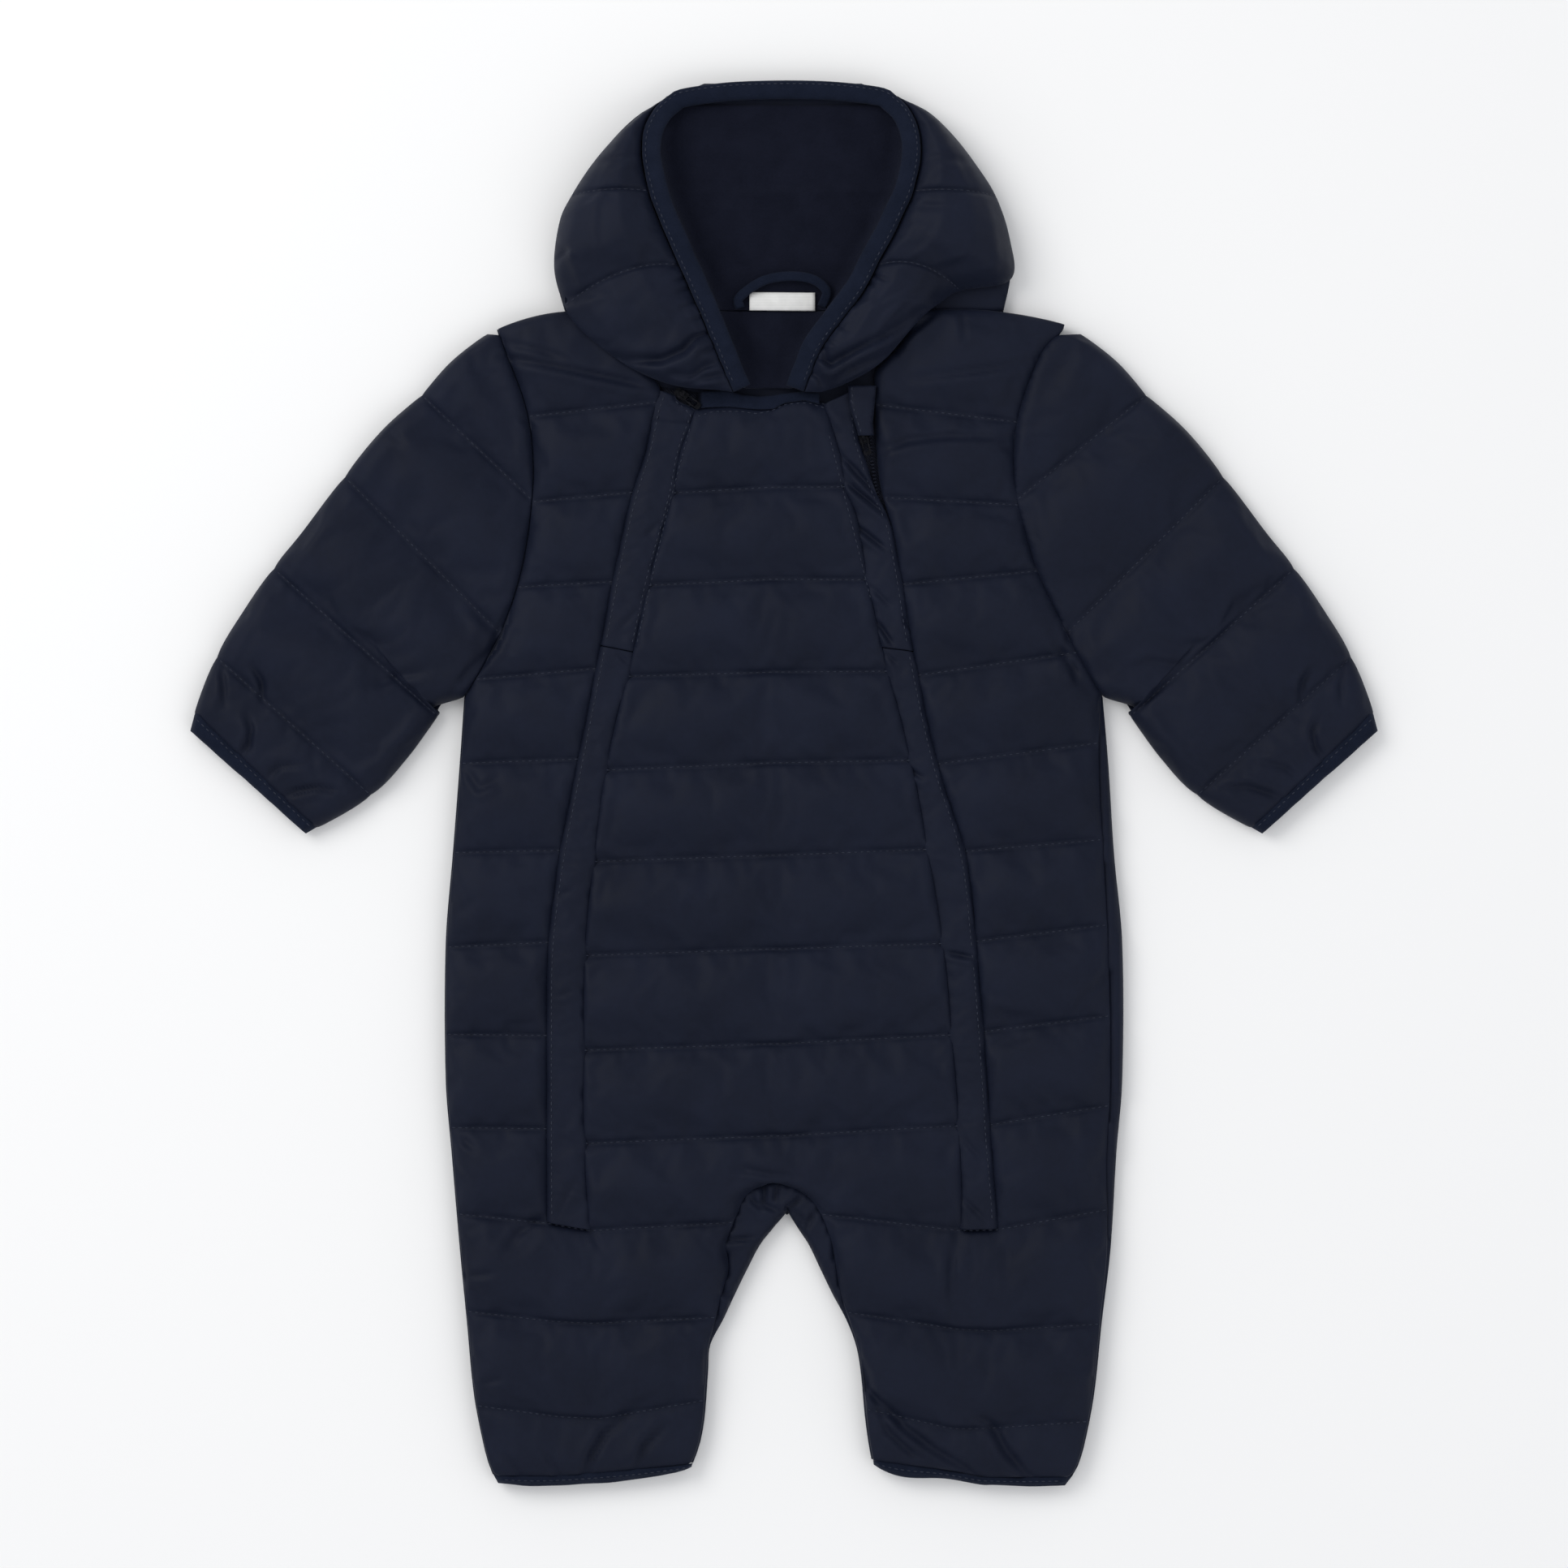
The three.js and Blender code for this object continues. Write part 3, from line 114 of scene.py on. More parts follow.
hems = {  # seam x and y, free edge x and y, from the inside leg to the side
    "left": [(-39, -289.5, -39.4, -290.9), (-43.5, -290.3, -43.5, -292.5), (-50, -291, -50, -293.9),
             (-64, -292.3, -64, -296.4), (-83, -293.9, -83, -298), (-103, -295, -103, -298.9),
             (-123.4, -294.8, -121.7, -297.9)],
    "right": [(38, -288.2, 38.2, -289.9), (44.4, -289.3, 44.4, -293.3), (52.3, -290.4, 52.3, -295.2),
              (68, -292.3, 68, -296), (82, -295.1, 82, -298.1), (89, -295.5, 89, -298.6),
              (102, -295.7, 102, -298.9), (122.4, -295.2, 119.6, -298.9)]}


def mix(a, b, t):
    return a + (b - a) * t


def bulge(through):
    return math.sqrt(max(0, math.sin(math.pi * through)))


def ease(t):
    t = np.clip(t, 0, 1)
    return t * t * (3 - 2 * t)


def curveAt(table, column, y):
    # smooth curve through a table whose first column falls
    last = len(table) - 1
    if y >= table[0][0]:
        return table[0][column]
    if y <= table[last][0]:
        return table[last][column]
    i = 0
    while table[i + 1][0] > y:
        i += 1

    def slope(k):
        above, below = table[max(k - 1, 0)], table[min(k + 1, last)]
        return (below[column] - above[column]) / (below[0] - above[0])
    span = table[i + 1][0] - table[i][0]
    t = (y - table[i][0]) / span
    bent = t * (1 - t) * (1 - t) * slope(i) - t * t * (1 - t) * slope(i + 1)
    return mix(table[i][column], table[i + 1][column], ease(t)) + span * bent


def countedAt(table, column, position):
    # the same where the rows are counted
    last = len(table) - 1
    i = min(int(position), last - 1)
    t = position - i

    def at(k):
        return table[min(max(k, 0), last)][column]

    def slope(k):
        return (at(k + 1) - at(k - 1)) / (1 if k in (0, last) else 2)
    bent = t * (1 - t) * (1 - t) * slope(i) - t * t * (1 - t) * slope(i + 1)
    return mix(at(i), at(i + 1), ease(t)) + bent


def straightAt(table, column, y):
    return float(np.interp(y, [row[0] for row in table][::-1], [row[column] for row in table][::-1]))


edgeColumns = {"leftOut": (slits, 1), "leftIn": (slits, 2), "rightIn": (slits, 3), "rightOut": (slits, 4),
               "frontLeft": (insideLegs, 1), "frontRight": (insideLegs, 2), "gapLeft": (insideLegs, 3),
               "gapRight": (insideLegs, 4)}


def crossings(y0):
    # where the long edges cross the row of height y0
    found = {}
    for number, edge in enumerate(longEdges):
        y = y0 + straightAt(climbs, number + 1, y0)
        if edge.endswith("Side"):
            table, column = armholes if y > underarmY else sideSeams, 1 if edge == "leftSide" else 2
        else:
            table, column = edgeColumns[edge]
        found[edge] = (curveAt(table, column, y), y)
    return found


def rowsBetween(lines, spacing):
    # height of each row, its part of the way through its channel, how full a channel of that width is
    rows = []
    for top, low in zip(lines, lines[1:]):
        count = 2 * max(1, round((top - low) / spacing / 2))
        short = min(1, (top - low) / 34)
        rows += [(mix(top, low, k / count), k / count, short) for k in range(count)]
    return rows + [(lines[-1], 0, 1)]


def rounded(rim, full, distance, reach):
    q = np.clip(distance / reach, 0, 1)
    return mix(rim, full, math.sqrt(1 - (1 - q) ** 2))


class Cloth:
    # a sheet of points in millimetres, made of rows that hold the same count of columns
    def __init__(self, name):
        self.name = name
        self.points = []
        self.faces = []
        self.pins = set()
        self.seen = {}

    def point(self, key, place, pinned):
        if key not in self.seen:
            self.seen[key] = len(self.points)
            self.points.append(place)
        if pinned:
            self.pins.add(self.seen[key])
        return self.seen[key]

    def face(self, corners):
        kept = [c for k, c in enumerate(corners) if c != corners[k - 1]]
        if len(set(kept)) > 2:
            self.faces.append(kept)

    def build(self):
        mesh = bpy.data.meshes.new(self.name)
        mesh.from_pydata([(x * mm, y * mm, z * mm) for x, y, z in self.points], [], self.faces)
        mesh.validate()
        built = bpy.data.objects.new(self.name, mesh)
        scene.collection.objects.link(built)
        for polygon in mesh.polygons:
            polygon.use_smooth = True
        return built


def outwards(piece):
    work = bmesh.new()
    work.from_mesh(piece.data)
    bmesh.ops.recalc_face_normals(work, faces=work.faces)
    work.to_mesh(piece.data)
    work.free()
    return piece


def readPoints(piece):
    flat = np.empty(len(piece.data.vertices) * 3)
    piece.data.vertices.foreach_get("co", flat)
    return flat.reshape(-1, 3) / mm


def writePoints(piece, points):
    piece.data.vertices.foreach_set("co", (points * mm).ravel())
    piece.data.update()


def swell(piece, pins, s):
    # fill lifts the cloth between its sewn lines; the cloth is cut a little larger than its lines
    rest = readPoints(piece)
    group = piece.vertex_groups.new(name="sewn")
    group.add(sorted(pins), 1, "REPLACE")
    cloth = piece.modifiers.new("cloth", "CLOTH")
    wear = cloth.settings
    wear.quality = s["quality"]
    wear.mass = s["mass"]
    wear.tension_stiffness = wear.compression_stiffness = s["stiff"]
    wear.shear_stiffness = s["shear"]
    wear.bending_stiffness = s["bend"]
    wear.air_damping = s["air"]
    wear.vertex_group_mass = "sewn"
    wear.use_pressure = True
    wear.uniform_pressure_force = s["pressure"]
    wear.shrink_min = -s["spare"]
    wear.effector_weights.gravity = 0
    cloth.collision_settings.use_collision = False
    cloth.point_cache.frame_start = 1
    cloth.point_cache.frame_end = s["frames"]
    for step in range(1, s["frames"] + 1):
        scene.frame_set(step)
    shown = piece.evaluated_get(bpy.context.evaluated_depsgraph_get())
    flat = np.empty(len(rest) * 3)
    shown.data.vertices.foreach_get("co", flat)
    piece.modifiers.remove(cloth)
    piece.vertex_groups.remove(group)
    scene.frame_set(1)
    moved = flat.reshape(-1, 3) / mm - rest
    far = np.linalg.norm(moved, axis=1)[:, None]
    moved *= np.minimum(1, s["cap"] / np.maximum(far, 1e-9))
    say(f"{piece.name}: {len(rest)} points, moved {far.mean():.2f} mm, at most {far.max():.2f}")
    return rest + moved


# Front
frontSet = {
    "spacing": 2.3, "loft": 7.6, "stitched": 2.9, "rim": 2.2, "zipRim": 3.3, "innerRim": 5.2, "over": 0.7,
    "start": 0.9, "reach": {"Side": 13, "front": 9, "In": 5, "Out": 6},
    "cloth": {"quality": 4, "mass": 0.12, "stiff": 6, "shear": 3, "bend": 0.3, "air": 2,
              "pressure": 2, "spare": 0.02, "frames": 16, "cap": 3}}


def frontParts(middle):
    # the stretches of a row that are cloth, left to right, by the names of their edges
    if middle > neckY:
        return [("leftSide", "leftOut"), ("rightOut", "rightSide")]
    if middle > crotchY:
        return [("leftSide", "leftOut"), ("leftIn", "rightIn"), ("rightOut", "rightSide")]
    if middle > zipEndY:
        return [("leftSide", "leftOut"), ("leftIn", "frontLeft"), ("frontRight", "rightIn"),
                ("rightOut", "rightSide")]
    return [("leftSide", "frontLeft"), ("frontRight", "rightSide")]


def frontEdges(y0):
    found = {name: list(place) for name, place in crossings(y0).items()}
    found["leftSide"][0] += 1
    rightY = found["rightSide"][1]
    if rightY <= underarmY:
        found["rightSide"][0] -= curveAt(sideSeams, 3, rightY)
    found["leftIn"][0] -= frontSet["over"]
    found["rightIn"][0] += frontSet["over"]
    return found


def frontHeight(x, edges, part, row, s):
    y0, through, short = row
    full = mix(s["stitched"], s["loft"], bulge(through) * short * s["start"])
    thick = full
    for name, distance in ((part[0], x - edges[part[0]][0]), (part[1], edges[part[1]][0] - x)):
        if name.endswith("Side"):
            thick = min(thick, rounded(s["rim"], full, distance, s["reach"]["Side"]))
        elif name.startswith("front"):
            thick = min(thick, rounded(s["rim"], full, distance, s["reach"]["front"]))
        elif name.endswith("In"):
            rim = mix(s["stitched"], s["innerRim"], full / s["loft"])
            thick = min(thick, rounded(rim, full, distance, s["reach"]["In"]))
        else:
            thick = min(thick, rounded(s["zipRim"], full, distance, s["reach"]["Out"]))
    return frontUnder + thick


def frontLift(y0, part, x, left, right):
    # how far a row bows up at the shoulder and waves at the neck edge
    if "leftIn" in part or "rightIn" in part:
        near = float(ease((y0 - 150) / (neckY - 150)))
        return near * float(np.interp(x, [w[0] for w in neckWave], [w[1] for w in neckWave]))
    t = (x - left) / (right - left)
    bow = {"leftOut": 2, "rightOut": 2.9}[part[1] if part[0] == "leftSide" else part[0]]
    return bow * 4 * t * (1 - t) * float(ease((y0 - 163) / (shoulderY - 163)))


def makeFront(s):
    cloth = Cloth("frontShell")
    rows = rowsBetween([shoulderY, *quiltLines, panelEndY], s["spacing"])
    grid = np.arange(-150, 151, s["spacing"])
    placed = []
    for row in rows:
        edges = frontEdges(row[0])
        columns = grid.copy()
        names = {n for part in frontParts(row[0] + 0.01) + frontParts(row[0] - 0.01) for n in part}
        for name in names:
            near = np.argmin(abs(columns - edges[name][0]))
            columns[near] = edges[name][0]
        ordered = sorted(edges.values())
        heights = np.interp(columns, [p[0] for p in ordered], [p[1] for p in ordered])
        placed.append((row, edges, columns, heights))
    for i in range(len(placed) - 1):
        middle = (placed[i][0][0] + placed[i + 1][0][0]) / 2
        for part in frontParts(middle):
            lines = []
            for k in (i, i + 1):
                row, edges, columns, heights = placed[k]
                left, right = edges[part[0]], edges[part[1]]
                line = []
                for x, y in zip(columns, heights):
                    x, y = (x, y) if left[0] < x < right[0] else (left if x <= left[0] else right)
                    onEdge = x in (left[0], right[0])
                    z = frontHeight(x, edges, part, row, s)
                    if row[0] > zipEndY:
                        y += frontLift(row[0], part, x, left[0], right[0])
                    ends = k == 0 or k == len(placed) - 1
                    line.append(cloth.point((k, round(x, 3)), (x, y, z), onEdge or row[1] == 0 or ends))
                lines.append(line)
            for a, b, c, d in zip(lines[0], lines[0][1:], lines[1][1:], lines[1]):
                cloth.face([a, d, c, b])
    return cloth


def boundaryOf(work):
    return [e for e in work.edges if len(e.link_faces) == 1]


def closeUnder(piece, profile):
    # carries the free edge of a sheet outwards and down through the profile, then closes it underneath
    work = bmesh.new()
    work.from_mesh(piece.data)
    work.verts.ensure_lookup_table()
    edge = boundaryOf(work)
    outward = {}
    for e in edge:
        face = e.link_faces[0]
        along = e.verts[1].co - e.verts[0].co
        side = Vector((along.y, -along.x, 0)).normalized()
        if side.dot(face.calc_center_median() - e.verts[0].co) > 0:
            side = -side
        for v in e.verts:
            outward[v] = outward.get(v, Vector()) + side
    base = {v: (v.co.copy(), w.normalized()) for v, w in outward.items()}
    for out, level in profile:
        made = bmesh.ops.extrude_edge_only(work, edges=edge)["geom"]
        fresh = [v for v in made if isinstance(v, bmesh.types.BMVert)]
        moved = {}
        for v in fresh:
            old = next(e.other_vert(v) for e in v.link_edges if e.other_vert(v) in base)
            place, side = base[old]
            z = level(place) if callable(level) else level * mm
            v.co = Vector((place.x + side.x * out * mm, place.y + side.y * out * mm, z))
            moved[v] = (place, side)
        base = moved
        edge = [e for e in made if isinstance(e, bmesh.types.BMEdge) and len(e.link_faces) == 1]
    bmesh.ops.triangle_fill(work, use_beauty=False, use_dissolve=False, edges=edge)
    bmesh.ops.recalc_face_normals(work, faces=work.faces)
    for face in work.faces:
        face.smooth = True
    work.to_mesh(piece.data)
    work.free()


def finer(piece, sewn=(), crisp=0.8):
    # halves the mesh; an edge between two sewn points stays crisp
    if sewn:
        sharp = piece.data.attributes.new("crease_edge", "FLOAT", "EDGE")
        for edge in piece.data.edges:
            sharp.data[edge.index].value = crisp if set(edge.vertices) <= sewn else 0
    smooth = piece.modifiers.new("smooth", "SUBSURF")
    smooth.levels = smooth.render_levels = 1
    shown = piece.evaluated_get(bpy.context.evaluated_depsgraph_get())
    mesh = bpy.data.meshes.new_from_object(shown)
    if sewn:
        mesh.attributes.remove(mesh.attributes["crease_edge"])
    piece.modifiers.remove(smooth)
    old = piece.data
    piece.data = mesh
    bpy.data.meshes.remove(old)
    mesh.name = piece.name


def press(points, creases):
    # soft troughs and ridges: a line of points, its half width and its depth, down where positive
    for line, half, depth in creases:
        line = np.array(line, float)
        away = np.full(len(points), 1e9)
        side = np.zeros(len(points))
        fade = np.zeros(len(points))
        for k in range(len(line) - 1):
            a, d = line[k], line[k + 1] - line[k]
            reach = points[:, :2] - a
            t = np.clip(reach @ d / (d @ d), 0, 1)
            gap = reach - t[:, None] * d
            far = np.hypot(gap[:, 0], gap[:, 1])
            nearer = far < away
            away = np.where(nearer, far, away)
            side = np.where(nearer, np.sign(reach[:, 0] * d[1] - reach[:, 1] * d[0]) * far, side)
            fade = np.where(nearer, (k + t) / (len(line) - 1), fade)
        taper = np.sqrt(np.clip(np.sin(np.pi * np.clip(fade, 0.03, 0.97)), 0, 1))
        trough = np.exp(-(away / (0.46 * half)) ** 2)
        ridge = np.exp(-((side - half) / (0.55 * half)) ** 2)
        points[:, 2] -= depth * taper * (1.2 * trough - 0.5 * ridge)
    return points


def grain(points, size, seed, direction=(1, 1)):
    # smooth noise from -1 to 1, one value for each point
    sx, sy = direction
    return np.array([noise.noise(Vector((x * sx / size, y * sy / size, seed))) for x, y, _ in points])


def pucker(points, lines, s):
    # the cloth gathers a little at each sewn line, and the thread pulls it down
    away = np.full(len(points), 1e9)
    for line in lines:
        line = np.array(line, float)
        step = max(1, len(line) // 60)
        line = line[::step] if len(line) > 2 * step else line
        for a, b in zip(line, line[1:]):
            near = (points[:, 0] > min(a[0], b[0]) - 14) & (points[:, 0] < max(a[0], b[0]) + 14)
            near &= (points[:, 1] > min(a[1], b[1]) - 14) & (points[:, 1] < max(a[1], b[1]) + 14)
            if not near.any():
                continue
            some = points[near, :2] - a
            d = b - a
            t = np.clip(some @ d / max(d @ d, 1e-9), 0, 1)
            gap = some - t[:, None] * d
            away[near] = np.minimum(away[near], np.hypot(gap[:, 0], gap[:, 1]))
    fine = grain(points, s["size"], s["seed"], s["direction"])
    wide = grain(points, s["size"] * 3.2, s["seed"] + 9, (1, 1))
    share = np.exp(-(away / s["reach"])) * np.clip(away / 1.2, 0, 1)
    points[:, 2] += s["deep"] * share * fine * (0.65 + wide)
    points[:, 2] -= s["pull"] * np.exp(-(away / 0.9) ** 2)
    return points


def finishPiece(piece, slot, *nodes, body="suit"):
    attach(piece, body)
    if nodes:
        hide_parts(*nodes)
    piece.data.materials.clear()
    piece.data.materials.append(finishes[slot])
    for polygon in piece.data.polygons:
        polygon.use_smooth = True
    return piece


def acrossSheet(name, rows, spacing):
    # rows run from one edge to the other; the columns are the same distance apart in every row
    cloth = Cloth(name)
    widest = max(math.dist(row["from"], row["to"]) for row in rows)
    lines = []
    for number, row in enumerate(rows):
        width = max(math.dist(row["from"], row["to"]), 0.01)
        line = []
        for k in range(math.ceil(widest / spacing) + 1):
            d = min(k * spacing, width)
            d = width if width - d < spacing * 0.5 else d
            x, y = (mix(row["from"][n], row["to"][n], d / width) for n in (0, 1))
            y += row.get("bow", 0) * 4 * d / width * (1 - d / width)
            pinned = row.get("sewn") or d in (0, width) or d in row.get("pins", ())
            line.append(cloth.point((number, round(d, 4)), (x, y, row["height"](d, width)), pinned))
        lines.append(line)
    for upper, lower in zip(lines, lines[1:]):
        for a, b, c, d in zip(upper, upper[1:], lower[1:], lower):
            cloth.face([a, d, c, b])
    turn = 0
    for f in cloth.faces:
        p = [cloth.points[k] for k in f[:3]]
        turn += (p[1][0] - p[0][0]) * (p[2][1] - p[0][1]) - (p[1][1] - p[0][1]) * (p[2][0] - p[0][0])
    if turn < 0:
        cloth.faces = [f[::-1] for f in cloth.faces]
    return cloth


class Wire:
    # a socket that takes sums
    def __init__(self, tree, socket):
        self.tree, self.socket = tree, socket

    def sum(self, operation, first, second):
        node = self.tree.nodes.new("ShaderNodeMath")
        node.operation = operation
        for place, value in enumerate((first, second)):
            if isinstance(value, Wire):
                self.tree.links.new(value.socket, node.inputs[place])
            else:
                node.inputs[place].default_value = value
        return Wire(self.tree, node.outputs[0])

    def __add__(self, other):
        return self.sum("ADD", self, other)

    def __radd__(self, other):
        return self.sum("ADD", other, self)

    def __sub__(self, other):
        return self.sum("SUBTRACT", self, other)

    def __rsub__(self, other):
        return self.sum("SUBTRACT", other, self)

    def __mul__(self, other):
        return self.sum("MULTIPLY", self, other)

    def __rmul__(self, other):
        return self.sum("MULTIPLY", other, self)


class Finish:
    def __init__(self, name):
        self.material = bpy.data.materials.new(name)
        self.material.use_nodes = True
        self.tree = self.material.node_tree
        self.shader = self.tree.nodes["Principled BSDF"]

    def node(self, kind, settings=None, output=0, **sockets):
        made = self.tree.nodes.new("ShaderNode" + kind)
        for key, value in (settings or {}).items():
            if key == "stops":
                ramp = made.color_ramp
                while len(ramp.elements) < len(value):
                    ramp.elements.new(0.5)
                for element, (place, colour) in zip(ramp.elements, value):
                    element.position = place
                    element.color = (*colour, 1)
            else:
                setattr(made, key, value)
        for key, value in sockets.items():
            target = made.inputs[int(key[1:])] if key[0] == "i" and key[1:].isdigit() else made.inputs[key]
            if isinstance(value, Wire):
                self.tree.links.new(value.socket, target)
            else:
                target.default_value = value
        return Wire(self.tree, made.outputs[output])

    def feed(self, **sockets):
        for key, value in sockets.items():
            target = self.shader.inputs[key.replace("_", " ")]
            if isinstance(value, Wire):
                self.tree.links.new(value.socket, target)
            else:
                target.default_value = value

    def place(self):
        return self.node("TexCoord", output=3)

    def axis(self, number):
        return self.node("SeparateXYZ", output=number, Vector=self.place())

    def wave(self, along, pitch):
        # pitch is in millimetres
        turned = along * (2 * math.pi / (pitch * mm))
        return turned.sum("SINE", turned, 0)

    def noise(self, size, detail=2.0, rough=0.5, where=None, **settings):
        # size is the size of its patches in millimetres
        return self.node("TexNoise", settings, Vector=where or self.place(), Scale=1 / (size * mm),
                         Detail=detail, Roughness=rough)


nylonSet = {"colour": (0.0043, 0.0065, 0.0162), "lighter": (0.0077, 0.0108, 0.0245), "rough": 0.6,
            "sheen": 0.03, "shine": 0.12, "cloud": 26, "crumple": 9, "fine": 2.2, "weave": 0.55}


def makeNylon(s):
    f = Finish("quiltedNylon")
    cloud = f.noise(s["cloud"], 3)
    crumple = f.noise(s["crumple"], 4, 0.6)
    fine = f.noise(s["fine"], 2)
    thread = f.wave(f.axis(0), s["weave"]) * f.wave(f.axis(1), s["weave"])
    shade = f.node("ValToRGB", {"stops": [(0.3, s["colour"]), (0.75, s["lighter"])]},
                   Fac=cloud * 0.7 + fine * 0.3)
    level = crumple * 0.5 + fine * 0.22 + thread * 0.05
    bump = f.node("Bump", Height=level, Strength=0.35, Distance=0.5 * mm)
    f.feed(Base_Color=shade, Roughness=s["rough"] + (cloud - 0.5) * 0.16 + (fine - 0.5) * 0.1, Normal=bump)
    f.feed(Sheen_Weight=s["sheen"], Sheen_Roughness=0.45, Sheen_Tint=(0.62, 0.7, 0.95, 1))
    f.feed(Specular_IOR_Level=s["shine"])
    return f.material


fleeceSet = {"colour": (0.0034, 0.0044, 0.0108), "lighter": (0.0073, 0.0088, 0.0188), "cloud": 11, "pile": 1.1,
             "sheen": 0.07}
bindingClothSet = {"colour": (0.0044, 0.0072, 0.0168), "lighter": (0.0086, 0.0124, 0.027), "cloud": 7,
                   "pile": 0.9, "sheen": 0.05}


def makeFleece(name, s):
    f = Finish(name)
    cloud = f.noise(s["cloud"], 4, 0.6)
    pile = f.noise(s["pile"], 3, 0.7)
    shade = f.node("ValToRGB", {"stops": [(0.32, s["colour"]), (0.72, s["lighter"])]},
                   Fac=cloud * 0.55 + pile * 0.45)
    bump = f.node("Bump", Height=pile + cloud * 0.6, Strength=0.6, Distance=0.5 * mm)
    f.feed(Base_Color=shade, Roughness=0.86 + (pile - 0.5) * 0.2, Normal=bump)
    f.feed(Sheen_Weight=s["sheen"], Sheen_Roughness=0.5, Sheen_Tint=(0.6, 0.68, 0.9, 1))
    f.feed(Specular_IOR_Level=0.08)
    return f.material


def makeZipCloth():
    f = Finish("zipTape")
    twill = f.wave(f.axis(0) + f.axis(1), 1.1) * 0.5 + 0.5
    pile = f.noise(0.9, 2)
    shade = f.node("ValToRGB", {"stops": [(0.2, (0.0035, 0.0048, 0.011)), (0.85, (0.0115, 0.014, 0.026))]},
                   Fac=twill * 0.6 + pile * 0.4)
    bump = f.node("Bump", Height=twill + pile * 0.4, Strength=0.5, Distance=0.25 * mm)
    f.feed(Base_Color=shade, Roughness=0.66 + (pile - 0.5) * 0.2, Normal=bump, Specular_IOR_Level=0.15)
    return f.material


def makeLabel():
    f = Finish("satinTape")
    rib = f.wave(f.axis(1), 0.5) * 0.5 + 0.5
    cloud = f.noise(4, 2)
    shade = f.node("ValToRGB", {"stops": [(0.2, (0.68, 0.68, 0.67)), (0.8, (0.86, 0.86, 0.85))]},
                   Fac=rib * 0.4 + cloud * 0.6)
    bump = f.node("Bump", Height=rib, Strength=0.3, Distance=0.15 * mm)
    f.feed(Base_Color=shade, Roughness=0.5 + (cloud - 0.5) * 0.2, Normal=bump, Sheen_Weight=0.2)
    return f.material


def makeMetal():
    f = Finish("gunMetal")
    wear = f.noise(1.6, 4, 0.7)
    lines = f.noise(0.3, 2)
    shade = f.node("ValToRGB", {"stops": [(0.35, (0.004, 0.0045, 0.006)), (0.75, (0.022, 0.022, 0.026))]},
                   Fac=wear)
    bump = f.node("Bump", Height=lines, Strength=0.15, Distance=0.05 * mm)
    f.feed(Base_Color=shade, Roughness=0.2 + wear * 0.2, Normal=bump, Metallic=1.0)
    return f.material


def makeThread():
    f = Finish("sewingThread")
    twist = f.noise(0.4, 2)
    shade = f.node("ValToRGB", {"stops": [(0.3, (0.016, 0.02, 0.035)), (0.7, (0.034, 0.04, 0.062))]}, Fac=twist)
    f.feed(Base_Color=shade, Roughness=0.6 + (twist - 0.5) * 0.2, Specular_IOR_Level=0.15)
    return f.material


finishes = {
    "nylon": makeNylon(nylonSet),
    "fleece": makeFleece("velourFleece", fleeceSet),
    "binding_cloth": makeFleece("bindingFleece", bindingClothSet),
    "zip_cloth": makeZipCloth(),
    "white_tape": makeLabel(),
    "dark_metal": makeMetal(),
    "thread": makeThread(),
}
sewnLines = []  # each a list of points in millimetres, seen from above
sewnOn = []  # the pieces that the thread lies on

